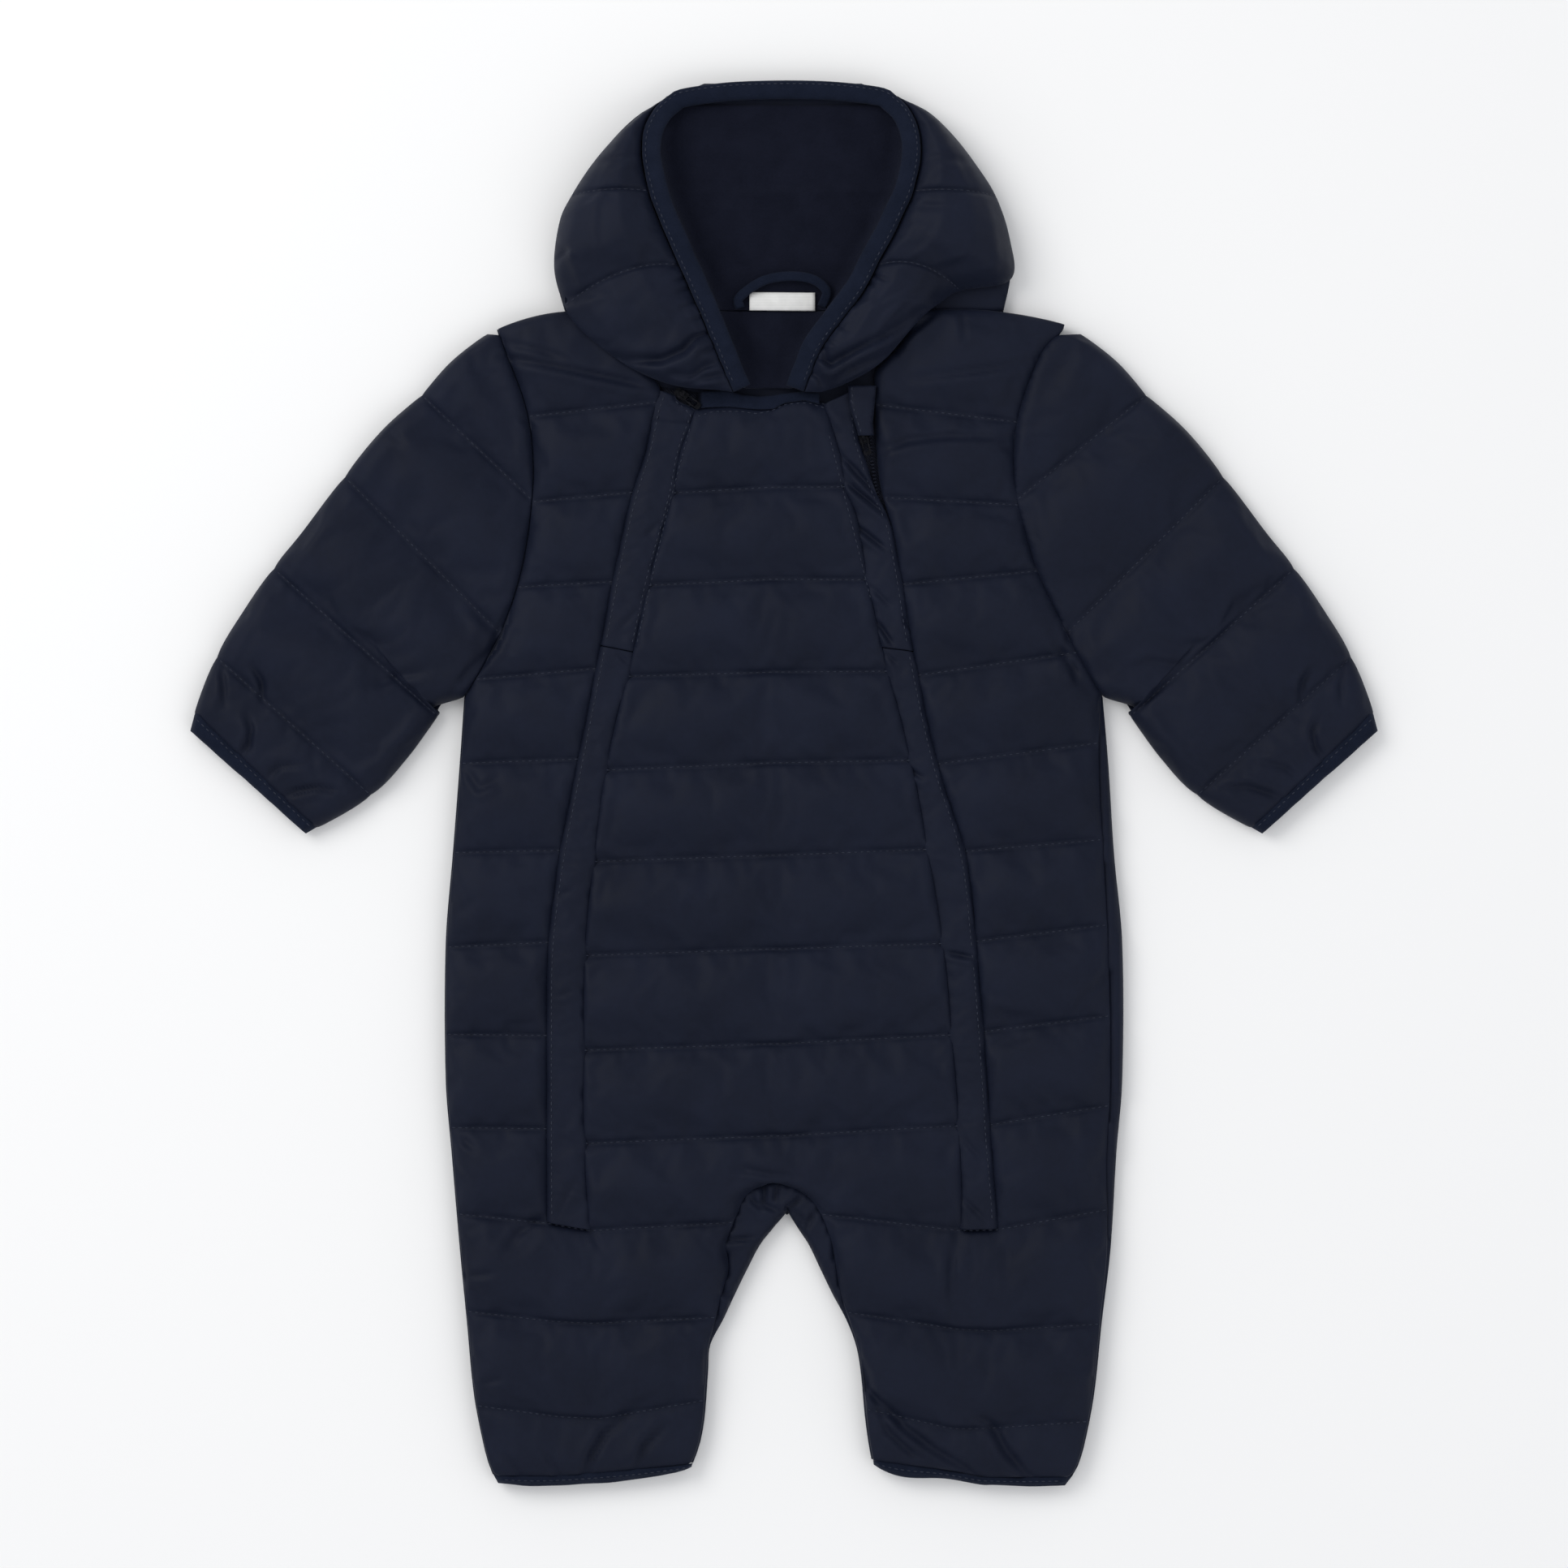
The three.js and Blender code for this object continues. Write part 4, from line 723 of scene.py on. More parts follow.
bodyCreases = [  # on the front and the sleeves: points of the line, half width, depth
    ([(-120.2, 181.8), (-98.3, 177.9), (-84, 174.7), (-68.5, 171.6), (-55.9, 168.9)], 3.6, 2.2),
    ([(-119.4, 188), (-103, 184.1), (-87.3, 178.6)], 3.2, 1.1),
    ([(-112.4, 155.9), (-106.1, 151.2)], 3, 0.9),
    ([(40.5, 141.8), (52.3, 146), (69.5, 148.1), (97.8, 147.3)], 3.8, 1.7),
    ([(91.5, 141.8), (97.8, 142.6)], 3, 0.8),
    ([(53.9, 172.4), (85.2, 176.3), (107.2, 180.2)], 3.8, 1.5),
    ([(52.3, 191.2), (64.8, 200.6)], 3, 1.3),
    ([(75.8, 202), (76.6, 189.6)], 3, 1.1),
    ([(-140.6, 40.6), (-124.1, 57.9), (-117.9, 73.6)], 4, 1.6),
    ([(-134.3, 75.1), (-123.3, 64.2)], 3.2, 1.1),
    ([(120.5, 68.9), (121.3, 59.5)], 3, 1.1),
    ([(116.6, 58.7), (126, 45.3)], 3.4, 1.4),
    ([(122.9, 50), (124.4, 42.2)], 2.8, 1),
    ([(-135.9, 7.5), (-129.6, -1.9), (-122, 2)], 3.2, 1.2),
    ([(140.1, -79.6), (129.1, -89), (122.9, -98.4)], 4, 0.9),
    ([(-137.5, -150.6), (-131.2, -155.3)], 3.2, 1),
    ([(-136.7, -209.4), (-123.3, -207.8)], 3.2, 1),
    ([(-100.6, -182.7), (-112.4, -190.6), (-118.6, -198.4)], 3.6, 1.5),
    ([(-81.5, -190.6), (-77.9, -198.4)], 3, 1.1),
    ([(-128.8, -254.9), (-120.2, -252.5)], 3, 1),
    ([(-66.1, -267.4), (-76.3, -276.8), (-81.8, -286.2), (-84.5, -294.1)], 3.8, 2.4),
    ([(-49.6, -272.1), (-59, -281.5), (-62.2, -290.9)], 3.6, 1.9),
    ([(-120.2, -284.7), (-110.8, -294.1)], 3, 1.3),
    ([(-102.2, -283.9), (-95.1, -294.1)], 3, 1.3),
    ([(33.5, -250), (35, -256.4), (44.4, -265.8), (52.3, -274.5), (64.8, -283.9), (77.4, -290.9),
      (81.3, -295.3)], 4, 2.5),
    ([(38.2, -261), (44.4, -275.2), (53.9, -283.9), (64.8, -288.6)], 3.5, 1.8),
    ([(82.1, -269), (88.4, -272.1), (94.6, -283.9), (100.9, -290.9), (107.2, -296.4)], 4, 2.4),
    ([(73.5, -190.6), (71.1, -207.8), (70.8, -220.4)], 4, 1.3),
    ([(-20, -163), (-8, -165.5), (4, -167)], 3.6, 1.6),
    ([(-225.8, 50.3), (-222, 43.4), (-221.6, 35.8)], 3, 2),
    ([(-239.2, 49.6), (-238.2, 41.4), (-237.8, 33.1)], 2.8, 1.3),
    ([(-228.2, 28.9), (-226.5, 23.4), (-227.5, 16.5), (-230.9, 12.7)], 3, 2),
    ([(-219.9, 3.4), (-214.4, 7.5), (-200.6, 8.9)], 3, 1.4),
    ([(-213, -5.2), (-206.8, -2.8), (-198.5, -1.4), (-188.2, -3.2)], 3, 2),
    ([(-176, 42), (-164, 46), (-152, 48)], 4, 1.2),
    ([(224, 49), (220.5, 43), (219.8, 36)], 3, 1.9),
    ([(238.5, 50.5), (236.8, 42), (237, 34)], 2.8, 1.3),
    ([(227, 27.5), (225, 22), (226.2, 15.5), (229.4, 11.5)], 3, 1.9),
    ([(218, 2.6), (213, 7), (201, 9.6)], 3, 1.4),
    ([(211.5, -6), (205.5, -3.6), (197, -1), (187, -2.2)], 3, 1.9),
    ([(168, 50), (156, 52), (146, 48)], 4, 1.2)]
frontPucker = {"size": 3.8, "deep": 1.15, "reach": 3.2, "pull": 0.5, "seed": 3.1, "direction": (1, 0.3)}

frontCloth = makeFront(frontSet)
front = frontCloth.build()
frontPoints = swell(front, frontCloth.pins, frontSet["cloth"])
frontLines = []
for y0 in quiltLines:
    edges = frontEdges(y0)
    for part in frontParts(y0 - 0.01):
        ordered = sorted(edges.values())
        left, right = edges[part[0]], edges[part[1]]
        xs = np.linspace(left[0] + 1, right[0] - 1, max(4, int((right[0] - left[0]) / 3)))
        ys = np.interp(xs, [p[0] for p in ordered], [p[1] for p in ordered])
        if y0 > zipEndY:
            ys += [frontLift(y0, part, x, left[0], right[0]) for x in xs]
        frontLines.append(list(zip(xs, ys)))
frontEdgeRows = [  # along the guards and the neck edge
    [(-40.2, 150.4), (-49.6, 115.9), (-62.2, 61)], [(19.4, 147.3), (36.6, 79.8)],
    [(-36, 156.5), (-30, 158.4), (-18, 158.4), (-11.8, 157.4), (-5.5, 158.7), (0.7, 161.5), (10.1, 162.2),
     (16.4, 160.2)]]
sewnLines += frontLines
writePoints(front, frontPoints)
finer(front, frontCloth.pins)
frontPoints = press(pucker(readPoints(front), frontLines, frontPucker), bodyCreases)
frontPoints[:, 2] = np.maximum(frontPoints[:, 2], frontUnder + 1)
writePoints(front, frontPoints)
closeUnder(front, [(0.25, 8.6), (0.5, 7.4), (0.4, 6.6)])
finishPiece(front, "nylon", "front")
sewnOn.append(front)
say("front done")

# Back: level under the front, rounded where it shows
backSet = {"spacing": 2.2, "show": 8.6, "dip": 0.9, "edge": 5.2, "reach": 3, "clear": 0.4}


backCreases = [  # round the top of the seam between the legs
    ([(-9.6, -168.6), (-8.1, -174.9), (-8.9, -178.8), (-1.8, -181.9)], 2.6, 2.2),
    ([(-2.6, -170.2), (-4.2, -178)], 2.4, 2), ([(8.4, -174.9), (2.1, -180.4), (9.9, -187.4)], 2.6, 2.2),
    ([(-14, -176), (-9, -182)], 2.4, 1.8), ([(-24.5, -194.5), (-12, -192.9)], 2.4, 1.8),
    ([(13, -182), (9, -190)], 2.4, 1.6), ([(-26.9, -216.4), (-21.4, -218.8)], 2.4, 1.4)]


def makeBack(s):
    cloth = Cloth("backShell")
    rows = rowsBetween([shoulderY, *quiltLines, panelEndY], s["spacing"])
    grid = np.arange(-150, 151, s["spacing"])
    placed = []
    for row in rows:
        edges = {name: list(place) for name, place in crossings(row[0]).items()}
        ordered = sorted(edges.values())
        columns = grid.copy()
        for name in ("leftSide", "gapLeft", "gapRight", "rightSide"):
            columns[np.argmin(abs(columns - edges[name][0]))] = edges[name][0]
        heights = np.interp(columns, [p[0] for p in ordered], [p[1] for p in ordered])
        placed.append((row, edges, columns, heights))
    for i in range(len(placed) - 1):
        middle = (placed[i][0][0] + placed[i + 1][0][0]) / 2
        parts = [("leftSide", "rightSide")]
        if middle < gapApexY + 1:
            parts = [("leftSide", "gapLeft"), ("gapRight", "rightSide")]
        for part in parts:
            lines = []
            for k in (i, i + 1):
                row, edges, columns, heights = placed[k]
                left, right = edges[part[0]], edges[part[1]]
                puff = bulge(row[1])
                line = []
                for x, y in zip(columns, heights):
                    x, y = (x, y) if left[0] < x < right[0] else (left if x <= left[0] else right)
                    rightShow = curveAt(sideSeams, 3, y) if y <= underarmY else 0
                    clear = s["clear"]
                    inGap = edges["frontLeft"][0] + clear < x < edges["frontRight"][0] - clear
                    inGap = inGap and row[0] < crotchY + 1
                    inSide = x > edges["rightSide"][0] - rightShow + clear and rightShow > 2
                    top = backThick
                    if inGap or inSide:
                        top = s["show"] - s["dip"] * (1 - puff)
                    rim = min(x - left[0], right[0] - x)
                    z = mix(s["edge"], top, math.sqrt(max(0, 1 - (1 - min(1, rim / s["reach"])) ** 2)))
                    line.append(cloth.point((k, round(x, 3)), (x, y, z), False))
                lines.append(line)
            for a, b, c, d in zip(lines[0], lines[0][1:], lines[1][1:], lines[1]):
                cloth.face([a, d, c, b])
    return cloth


back = makeBack(backSet).build()
work = bmesh.new()
work.from_mesh(back.data)
inCrotch = {e for f in work.faces for e in f.edges
            if abs(f.calc_center_median().x) < 30 * mm and -226 * mm < f.calc_center_median().y < -164 * mm}
bmesh.ops.subdivide_edges(work, edges=sorted(inCrotch, key=lambda e: e.index), cuts=1, use_grid_fill=True)
work.to_mesh(back.data)
work.free()
backPoints = readPoints(back)
shows = backPoints[:, 2] > 6.5
backPoints[:, 2] += np.where(shows, 0.5 * grain(backPoints, 5, 7.7), 0)
tucked = press(backPoints.copy(), backCreases)
backPoints[:, 2] = np.where(shows, np.maximum(tucked[:, 2], backThick), backPoints[:, 2])
writePoints(back, backPoints)
closeUnder(back, [(0.2, 3.4), (-1.2, 1.0), (-4.5, 0.0)])
finishPiece(back, "nylon", "back")
sewnOn.append(back)
say("back done")

# Sleeves
sleeveRows = [  # top edge, then the end of the row, which below the underarm is on the lower edge
    (126.3, 191.4, 0, 191), (141, 179, 0, 148), (154, 165.3, 0, 121), (170.5, 149.7, 0, 92),
    (186.8, 130.5, 0, 64), (204.5, 106.3, 137, 37.6), (217, 91.5, 147.8, 29.2), (229.3, 73, 161.5, 11.8),
    (241.3, 53.8, 176.3, -4.4), (250.8, 30.6, 199.4, -18.6)]
cuffEnd = (252.9, 22.7, 203.7, -21.1)
sleeveSet = {
    "spacing": 2.1, "middle": 6.0, "loft": 7.2, "stitched": 2.8, "start": 0.92, "scallop": 1.0,
    "cloth": {"quality": 4, "mass": 0.12, "stiff": 6, "shear": 3, "bend": 0.3, "air": 2,
              "pressure": 2, "spare": 0.02, "frames": 16, "cap": 3}}
sleevePucker = {"size": 3.6, "deep": 1.05, "reach": 3, "pull": 0.5, "seed": 12.4, "direction": (0.8, 0.8)}


def sleeveRow(p, sign, s):
    end = [sign * countedAt(sleeveRows, 2, p), countedAt(sleeveRows, 3, p)]
    isOpen = p < 5
    if isOpen:
        y = max(end[1], underarmY + 1)
        end = [curveAt(armholes, 1 if sign < 0 else 2, y) - sign * 0.4, y]
    through, most = (p % 2 / 2, 1) if p < 8 else (p - 8, 0.55)
    puff = most * bulge(through)
    high = s["middle"] + 0.3 + mix(s["stitched"], s["loft"], puff * s["start"])
    seam = min(high, 9.2)
    top = [sign * countedAt(sleeveRows, 0, p), countedAt(sleeveRows, 1, p)]
    reach = [top[0] - end[0], top[1] - end[1]]
    length = math.hypot(*reach) or 1
    top = [top[n] + reach[n] / length * s["scallop"] * puff for n in (0, 1)]
    if not isOpen:
        end = [end[n] - reach[n] / length * s["scallop"] * puff for n in (0, 1)]

    def height(d, width):
        near = min(9, 0.3 * width)
        z = rounded(s["middle"], high, d, near)
        return min(z, rounded(seam if isOpen else s["middle"], high, width - d, near))
    return {"from": top, "to": end, "height": height, "sewn": abs(p / 2 - round(p / 2)) < 1e-6 or p in (0, 9)}


def makeSleeve(hand, s):
    sign = -1 if hand == "left" else 1
    positions = np.round(np.arange(0, 9.001, 0.1), 3)
    cloth = acrossSheet("sleeveShell_" + hand, [sleeveRow(p, sign, s) for p in positions], s["spacing"])
    sleeve = cloth.build()
    points = swell(sleeve, cloth.pins, s["cloth"])
    lines = []
    for p in (2, 4, 6, 8):
        row = sleeveRow(p, sign, s)
        lines.append([(mix(row["from"][0], row["to"][0], t), mix(row["from"][1], row["to"][1], t))
                      for t in np.linspace(0.03, 0.98, 26)])
    writePoints(sleeve, points)
    finer(sleeve, cloth.pins)
    points = press(pucker(readPoints(sleeve), lines, sleevePucker), bodyCreases)
    points[:, 2] = np.maximum(points[:, 2], s["middle"] - 0.4)
    writePoints(sleeve, points)
    closeUnder(sleeve, [(0.3, 4.0), (-0.6, 2.0), (-2.6, 0.5), (-6, 0.0)])
    sewnLines.extend(lines)
    sewnOn.append(sleeve)
    finishPiece(sleeve, "nylon", "sleeve_" + hand)


for hand in ("left", "right"):
    makeSleeve(hand, sleeveSet)
say("sleeves done")


# Bindings at the cuffs and hems
bandSet = {"floor": 4.4, "slit": 0.5, "loft": 4.3, "over": 0.9, "step": 2.0}


def makeBand(name, node, seamAt, edgeAt, s):
    # seamAt and edgeAt give the points along the panel and along the free edge
    wide = math.dist(seamAt(0), seamAt(1))
    deep = sum(math.dist(seamAt(u), edgeAt(u)) for u in (0, 0.25, 0.5, 0.75, 1)) / 5
    middle = s["floor"] + s["slit"] / 2
    top = s["floor"] + s["slit"] + s["loft"]
    # section from the panel over the top to the free edge, into the slit, out and under: distance, height
    section = [(-s["over"], top - 0.9), (-s["over"] * 0.4, top - 0.15), (1.4, top + 0.05),
               (deep * 0.5, top + 0.1), (deep - 1.6, top - 0.2), (deep - 0.4, top - 1.1), (deep, middle + 2.0),
               (deep - 0.3, middle + 0.7), (deep - 1.2, middle + 0.25), (deep * 0.45, middle + 0.25), (deep * 0.45, middle - 0.25),
               (deep - 1.2, middle - 0.25), (deep - 0.3, middle - 0.7), (deep - 0.1, middle - 2.2),
               (deep - 1.0, 0.3), (deep - 2.4, 0.0), (0.8, 0.0), (0.4, 2.0), (0.5, top - 2.4)]
    cloth = Cloth(name)
    count = round(wide / s["step"])
    rings = []
    for k in range(count + 1):
        u = k / count
        edge = min(u, 1 - u) * wide
        squeeze = math.sqrt(max(0.02, 1 - (1 - min(1, edge / 4)) ** 2))
        wobble = 0.35 * noise.noise(Vector((u * wide / 9, 4.2, deep)))
        inner, outer = seamAt(u), edgeAt(u)
        ring = []
        for n, (d, z) in enumerate(section):
            v = (d + (wobble if d > deep * 0.7 else 0)) / deep
            lump = 0.25 * noise.noise(Vector((u * wide / 5, d / 3, 1.7))) if z > middle + 1 else 0
            level = max(0, middle + (z + lump - middle) * squeeze)
            place = (mix(inner[0], outer[0], v), mix(inner[1], outer[1], v), level)
            ring.append(cloth.point((k, n), place, False))
        rings.append(ring)
    for a, b in zip(rings, rings[1:]):
        for n in range(len(section)):
            m = (n + 1) % len(section)
            cloth.face([a[n], a[m], b[m], b[n]])
    cloth.faces += [rings[0], rings[-1][::-1]]
    band = outwards(cloth.build())
    sewnLines.append([tuple(mix(seamAt(u)[n], edgeAt(u)[n], 1.2 / deep) for n in (0, 1))
                      for u in np.linspace(0.04, 0.96, 40)])
    sewnOn.append(band)
    finishPiece(band, "binding_cloth", node)
    # the strip runs down both layers and round their thick edges
    (2 * deep + 7) * mm


def makeBands(s):
    last = sleeveRows[-1]
    for hand, sign in (("left", -1), ("right", 1)):
        def cuffLine(t, sign=sign):
            top, low = ([sign * mix(last[k], cuffEnd[k], t), mix(last[k + 1], cuffEnd[k + 1], t)]
                        for k in (0, 2))
            return lambda u: [mix(top[n], low[n], u) for n in (0, 1)]

        def hemLine(column, hand=hand):
            return lambda u: [countedAt(hems[hand], column + n, u * (len(hems[hand]) - 1)) for n in (0, 1)]
        makeBand("cuffBinding_" + hand, "cuff_binding_" + hand, cuffLine(0.05), cuffLine(1), s)
        makeBand("hemBinding_" + hand, "hem_binding_" + hand, hemLine(0), hemLine(2), s)


makeBands(bandSet)
say("bindings done")

# Zips and their guards
guardCuts = {  # height, how far the guard stays inside each edge, how far its zip side is pulled up
    "left": [(167, 0.6, 11, 0), (163.5, 0.6, 10.4, 0), (162, 0.6, 6, 0), (160.5, 0.6, 0.6, 0),
             (-188, 0.6, 0.6, 0)],
    "right": [(161, 0.6, 9.4, 6.4), (147, 0.6, 8.6, 1.5), (139, 0.6, 6, 0), (129, 0.6, 4, 0), (119, 0.6, 1.8, 0),
              (111, 0.6, 0.6, 0), (-188, 0.6, 0.6, 0)]}
guardSet = {
    "spacing": 1.5, "under": 9.2, "edge": 10.3, "top": 12.2, "seam": 2.4,
    "cloth": {"quality": 5, "mass": 0.1, "stiff": 5, "shear": 3, "bend": 0.1, "air": 2,
              "pressure": 2, "spare": 0.015, "frames": 14, "cap": 1.2}}


def slitEnds(y0, hand):
    c = crossings(y0)
    return (c["leftOut"], c["leftIn"]) if hand == "left" else (c["rightIn"], c["rightOut"])


def makeGuard(hand, part, topY, endY, creases, s):
    count = round((topY - endY) / s["spacing"])
    rows = []
    for k in range(count + 1):
        y0 = mix(topY, endY, k / count)
        a, b = slitEnds(y0, hand)
        start = (a[0] + straightAt(guardCuts[hand], 1, y0) - 0.9, a[1])
        end = (b[0] - straightAt(guardCuts[hand], 2, y0) + 0.9, b[1] + straightAt(guardCuts[hand], 3, y0))
        low = 1.2 if y0 > 155 and hand == "left" else 0

        def height(d, width, low=low):
            return rounded(s["edge"], s["top"], min(d, width - d), 4) - low
        rows.append({"from": start, "to": end, "height": height, "sewn": k in (0, count),
                     "pins": (round(s["seam"] / s["spacing"]) * s["spacing"],) if hand == "left" else ()})
    cloth = acrossSheet(f"zipGuard_{hand}_{part}", rows, s["spacing"])
    guard = cloth.build()
    writePoints(guard, swell(guard, cloth.pins, s["cloth"]))
    finer(guard)
    points = readPoints(guard)
    points[:, 2] += 0.35 * grain(points, 7, 3.3 + count, (1.4, 1))
    points = press(points, creases)
    points[:, 2] = np.maximum(points[:, 2], s["under"] + 0.6)
    writePoints(guard, points)
    closeUnder(guard, [(0.1, 9.9), (0.0, 9.2)])
    sewnOn.append(guard)
    finishPiece(guard, "nylon", f"zip_guard_{hand}_{part}")
    return rows


guardCreases = {
    ("left", "upper"): [([(-52, 112), (-60, 104)], 2.6, 0.7), ([(-62, 74), (-70, 66)], 2.6, 0.6)],
    ("left", "lower"): [([(-97, -48), (-91, -45)], 2.6, 0.7), ([(-96, -90), (-90, -88)], 2.6, 0.7),
                        ([(-90, -170), (-96, -184)], 2.6, 0.6), ([(-70, 55), (-66, 51)], 2.2, 0.7)],
    ("right", "upper"): [([(24.8, 139.4), (38.2, 124.5)], 2.6, 2.2), ([(26.4, 128.5), (43.7, 114.3)], 2.6, 2.1),
                         ([(31.1, 109.6), (42.9, 100.2)], 2.6, 2), ([(37, 84), (45, 76)], 2.4, 0.9),
                         ([(39.7, 68.9), (46, 59.5)], 2.4, 1.9), ([(52.3, 69), (60, 62.6)], 2.6, 1.6)],
    ("right", "lower"): [([(49.9, 8.3), (58.6, 2.8)], 2.4, 1.7), ([(69.5, -71.7), (81.3, -74)], 2.4, 1.6),
                         ([(44, 55), (48, 51)], 2, 0.9), ([(76, -150), (84, -160)], 2.6, 0.7),
                         ([(76, -176), (86, -186)], 2.6, 0.9)]}
for hand in ("left", "right"):
    top = 165.6 if hand == "left" else neckY
    for part, topY, endY in (("upper", top, guardSeamY + 0.2), ("lower", guardSeamY - 0.2, zipEndY + 0.4)):
        rows = makeGuard(hand, part, topY, endY, guardCreases[hand, part], guardSet)
        inner = 2.2
        for t, keep in ((0, True), (1, hand == "left" and part == "upper")):
            if keep:
                near, far = ("from", "to") if t == 0 else ("to", "from")
                if hand == "right" and t == 0:
                    near, far = "to", "from"
                line = []
                for row in rows[2:-2:3]:
                    width = math.dist(row["from"], row["to"])
                    line.append(tuple(mix(row[near][n], row[far][n], inner / width) for n in (0, 1)))
                sewnLines.append(line)


def makeZip(hand):
    high = 166.8 if hand == "left" else neckY
    rows = []
    path = []
    for y0 in np.linspace(high, zipEndY + 0.6, 150):
        a, b = slitEnds(y0, hand)
        turn = 0.8 * max(0, y0 - neckY) if hand == "left" else 0
        rows.append({"from": (a[0] + 0.5, a[1]), "to": (b[0] - 0.5, b[1]), "height": lambda d, width: 7.3})
        coil = b[0] - 2.6 - turn
        path.append((coil, mix(a[1], b[1], (coil - a[0]) / (b[0] - a[0])), 8.2))
    cloth = acrossSheet("zipTape_" + hand, rows, 2.5)
    tape = cloth.build()
    closeUnder(tape, [(0, 6.7)])
    finishPiece(tape, "zip_cloth", "zip_" + hand)
    return path


zipPaths = [makeZip(hand) for hand in ("left", "right")]
say("zips done")

# Hood
hoodRows = [  # height of the rim, left and right rim, left edge x and y, right edge x and y, how high it stands
    (168, -17.8, 4.8, -25, 167, 15.5, 166.2, 19), (177, -21.8, 8.2, -45, 168.8, 27, 170.3, 24),
    (187, -26, 12.6, -60, 174, 42, 179.5, 27), (199, -31, 21.4, -74, 182.5, 57, 196.5, 27),
    (212, -36.5, 31, -87, 193.5, 67, 205, 28), (222, -41, 36, -93.3, 203, 75, 209.8, 29),
    (234, -46.4, 42.6, -97.8, 219.5, 96.5, 214.5, 32), (245, -51, 47.8, -95.5, 239, 96, 232, 31),
    (252.5, -53.4, 51, -90.5, 250, 90.2, 249.8, 30), (265, -56.1, 53.8, -82, 263.2, 81.5, 263.7, 27),
    (275.5, -55.7, 53.5, -72, 275, 72, 276, 22), (284, -52, 50.2, -61, 285, 61.5, 286, 17),
    (289.6, -46.5, 45, -50.5, 291.2, 51, 291, 13)]
crownRows = [(-42, 291.8, 11.6), (-24, 294.4, 10.4), (-2, 295.3, 10), (20, 294.8, 10.4), (40, 292.4, 11.6)]
hoodShares = [(0, 0.7), (0.1, 0.88), (0.34, 1), (0.62, 0.95), (0.84, 0.7), (0.95, 0.4), (1, 0.16)]
hoodSet = {
    "spacing": 2.1, "dip": 3.2, "rimGap": 4.3, "lines": (0, 5, 8, 12), "step": 1 / 7,
    "cloth": {"quality": 4, "mass": 0.12, "stiff": 6, "shear": 3, "bend": 0.25, "air": 2,
              "pressure": 2, "spare": 0.02, "frames": 16, "cap": 3}}
hoodPucker = {"size": 3.8, "deep": 1.1, "reach": 3.2, "pull": 0.5, "seed": 21.9, "direction": (0.9, 0.6)}
hoodCreases = {
    "left": [([(-80.5, 188.1), (-75.5, 186.1), (-72.7, 187)], 3, 1.2),
             ([(-75.5, 182.6), (-68.3, 179.8), (-51.6, 179.8), (-42.7, 183.7), (-38.2, 188.7),
               (-32.7, 190.9)], 4.6, 3.4),
             ([(-49.4, 173.7), (-39.3, 173.1), (-33.8, 177), (-27.1, 179.2)], 3.4, 2.2),
             ([(-41.6, 168.7), (-32.7, 172.6), (-24.9, 173.7)], 3, 1.8),
             ([(-97, 227), (-92.8, 226), (-97.8, 221)], 3, 2), ([(-80, 263), (-60, 266.6)], 4, 0.9)],
    "right": [([(15.2, 182.6), (19.6, 178.1), (30.8, 184.2), (43, 190.4), (55.3, 198.2)], 4.2, 3.2),
              ([(15.8, 188.7), (18.5, 179.8)], 3, 1.8), ([(10.7, 174.8), (14.6, 173.1), (17.4, 167)], 3, 1.8),
              ([(19.6, 169.8), (28.5, 175.9), (38.6, 180.4), (48.6, 185.4)], 3.6, 2.4),
              ([(62, 266), (78.6, 263.8)], 4, 0.9), ([(55, 245), (71, 244)], 4, 0.9)]}
hoodGathers = {  # where small gathers start, and which way they run
    "left": ([(-42.7, 220.8), (-39.9, 215.4), (-39.3, 210.4), (-37.1, 204.3), (-33.8, 198.2), (-31.5, 191.5),
              (-29.3, 184.8)], (-6.4, -2.6)),
    "right": ([(37.5, 216), (33, 213.7), (25.2, 204.8), (21.3, 194.8), (16.9, 188.7), (14.6, 180.4)],
              (6.2, -2.9))}
for hand, (starts, run) in hoodGathers.items():
    hoodCreases[hand] += [([(x - run[0] * 0.4, y - run[1] * 0.4), (x + run[0], y + run[1])], 1.9, 1.1)
                          for x, y in starts]


def hoodFloorAt(y):
    return mix(14.6, frontUnder, float(ease((y - 201.6) / 4)))


def hoodRow(p, hand, s):
    out = 1 if hand == "left" else -1
    rimColumn, xColumn, yColumn = (1, 3, 4) if hand == "left" else (2, 5, 6)

    def rim(q):
        return np.array([countedAt(hoodRows, rimColumn, q), countedAt(hoodRows, 0, q)])
    along = rim(min(p + 0.05, s["lines"][-1])) - rim(max(p - 0.05, 0))
    along /= np.hypot(*along)
    start = rim(p) + out * np.array([-along[1], along[0]]) * s["rimGap"]
    end = np.array([countedAt(hoodRows, xColumn, p), countedAt(hoodRows, yColumn, p)])
    high = countedAt(hoodRows, 7, p)
    k = max(i for i, line in enumerate(s["lines"][:-1]) if line <= p)
    through = (p - s["lines"][k]) / (s["lines"][k + 1] - s["lines"][k])
    puff = bulge(through)
    sewn = any(abs(line - p) < 1e-6 for line in s["lines"])

    def height(d, width):
        t = d / width
        share = float(np.interp(t, [a for a, _ in hoodShares], [b for _, b in hoodShares]))
        y = mix(start[1], end[1], t)
        floor = hoodFloorAt(y)
        dip = s["dip"] * (1 - puff) * float(ease(min(t, 1 - t) / 0.12))
        return floor + max(1.2, (high - floor) * share - dip)
    bow = float(np.interp(p, [0, 2, 5, 8, 12], [0, 0, 5, 1, 0]))
    return {"from": tuple(start), "to": tuple(end), "height": height, "sewn": sewn, "bow": bow}


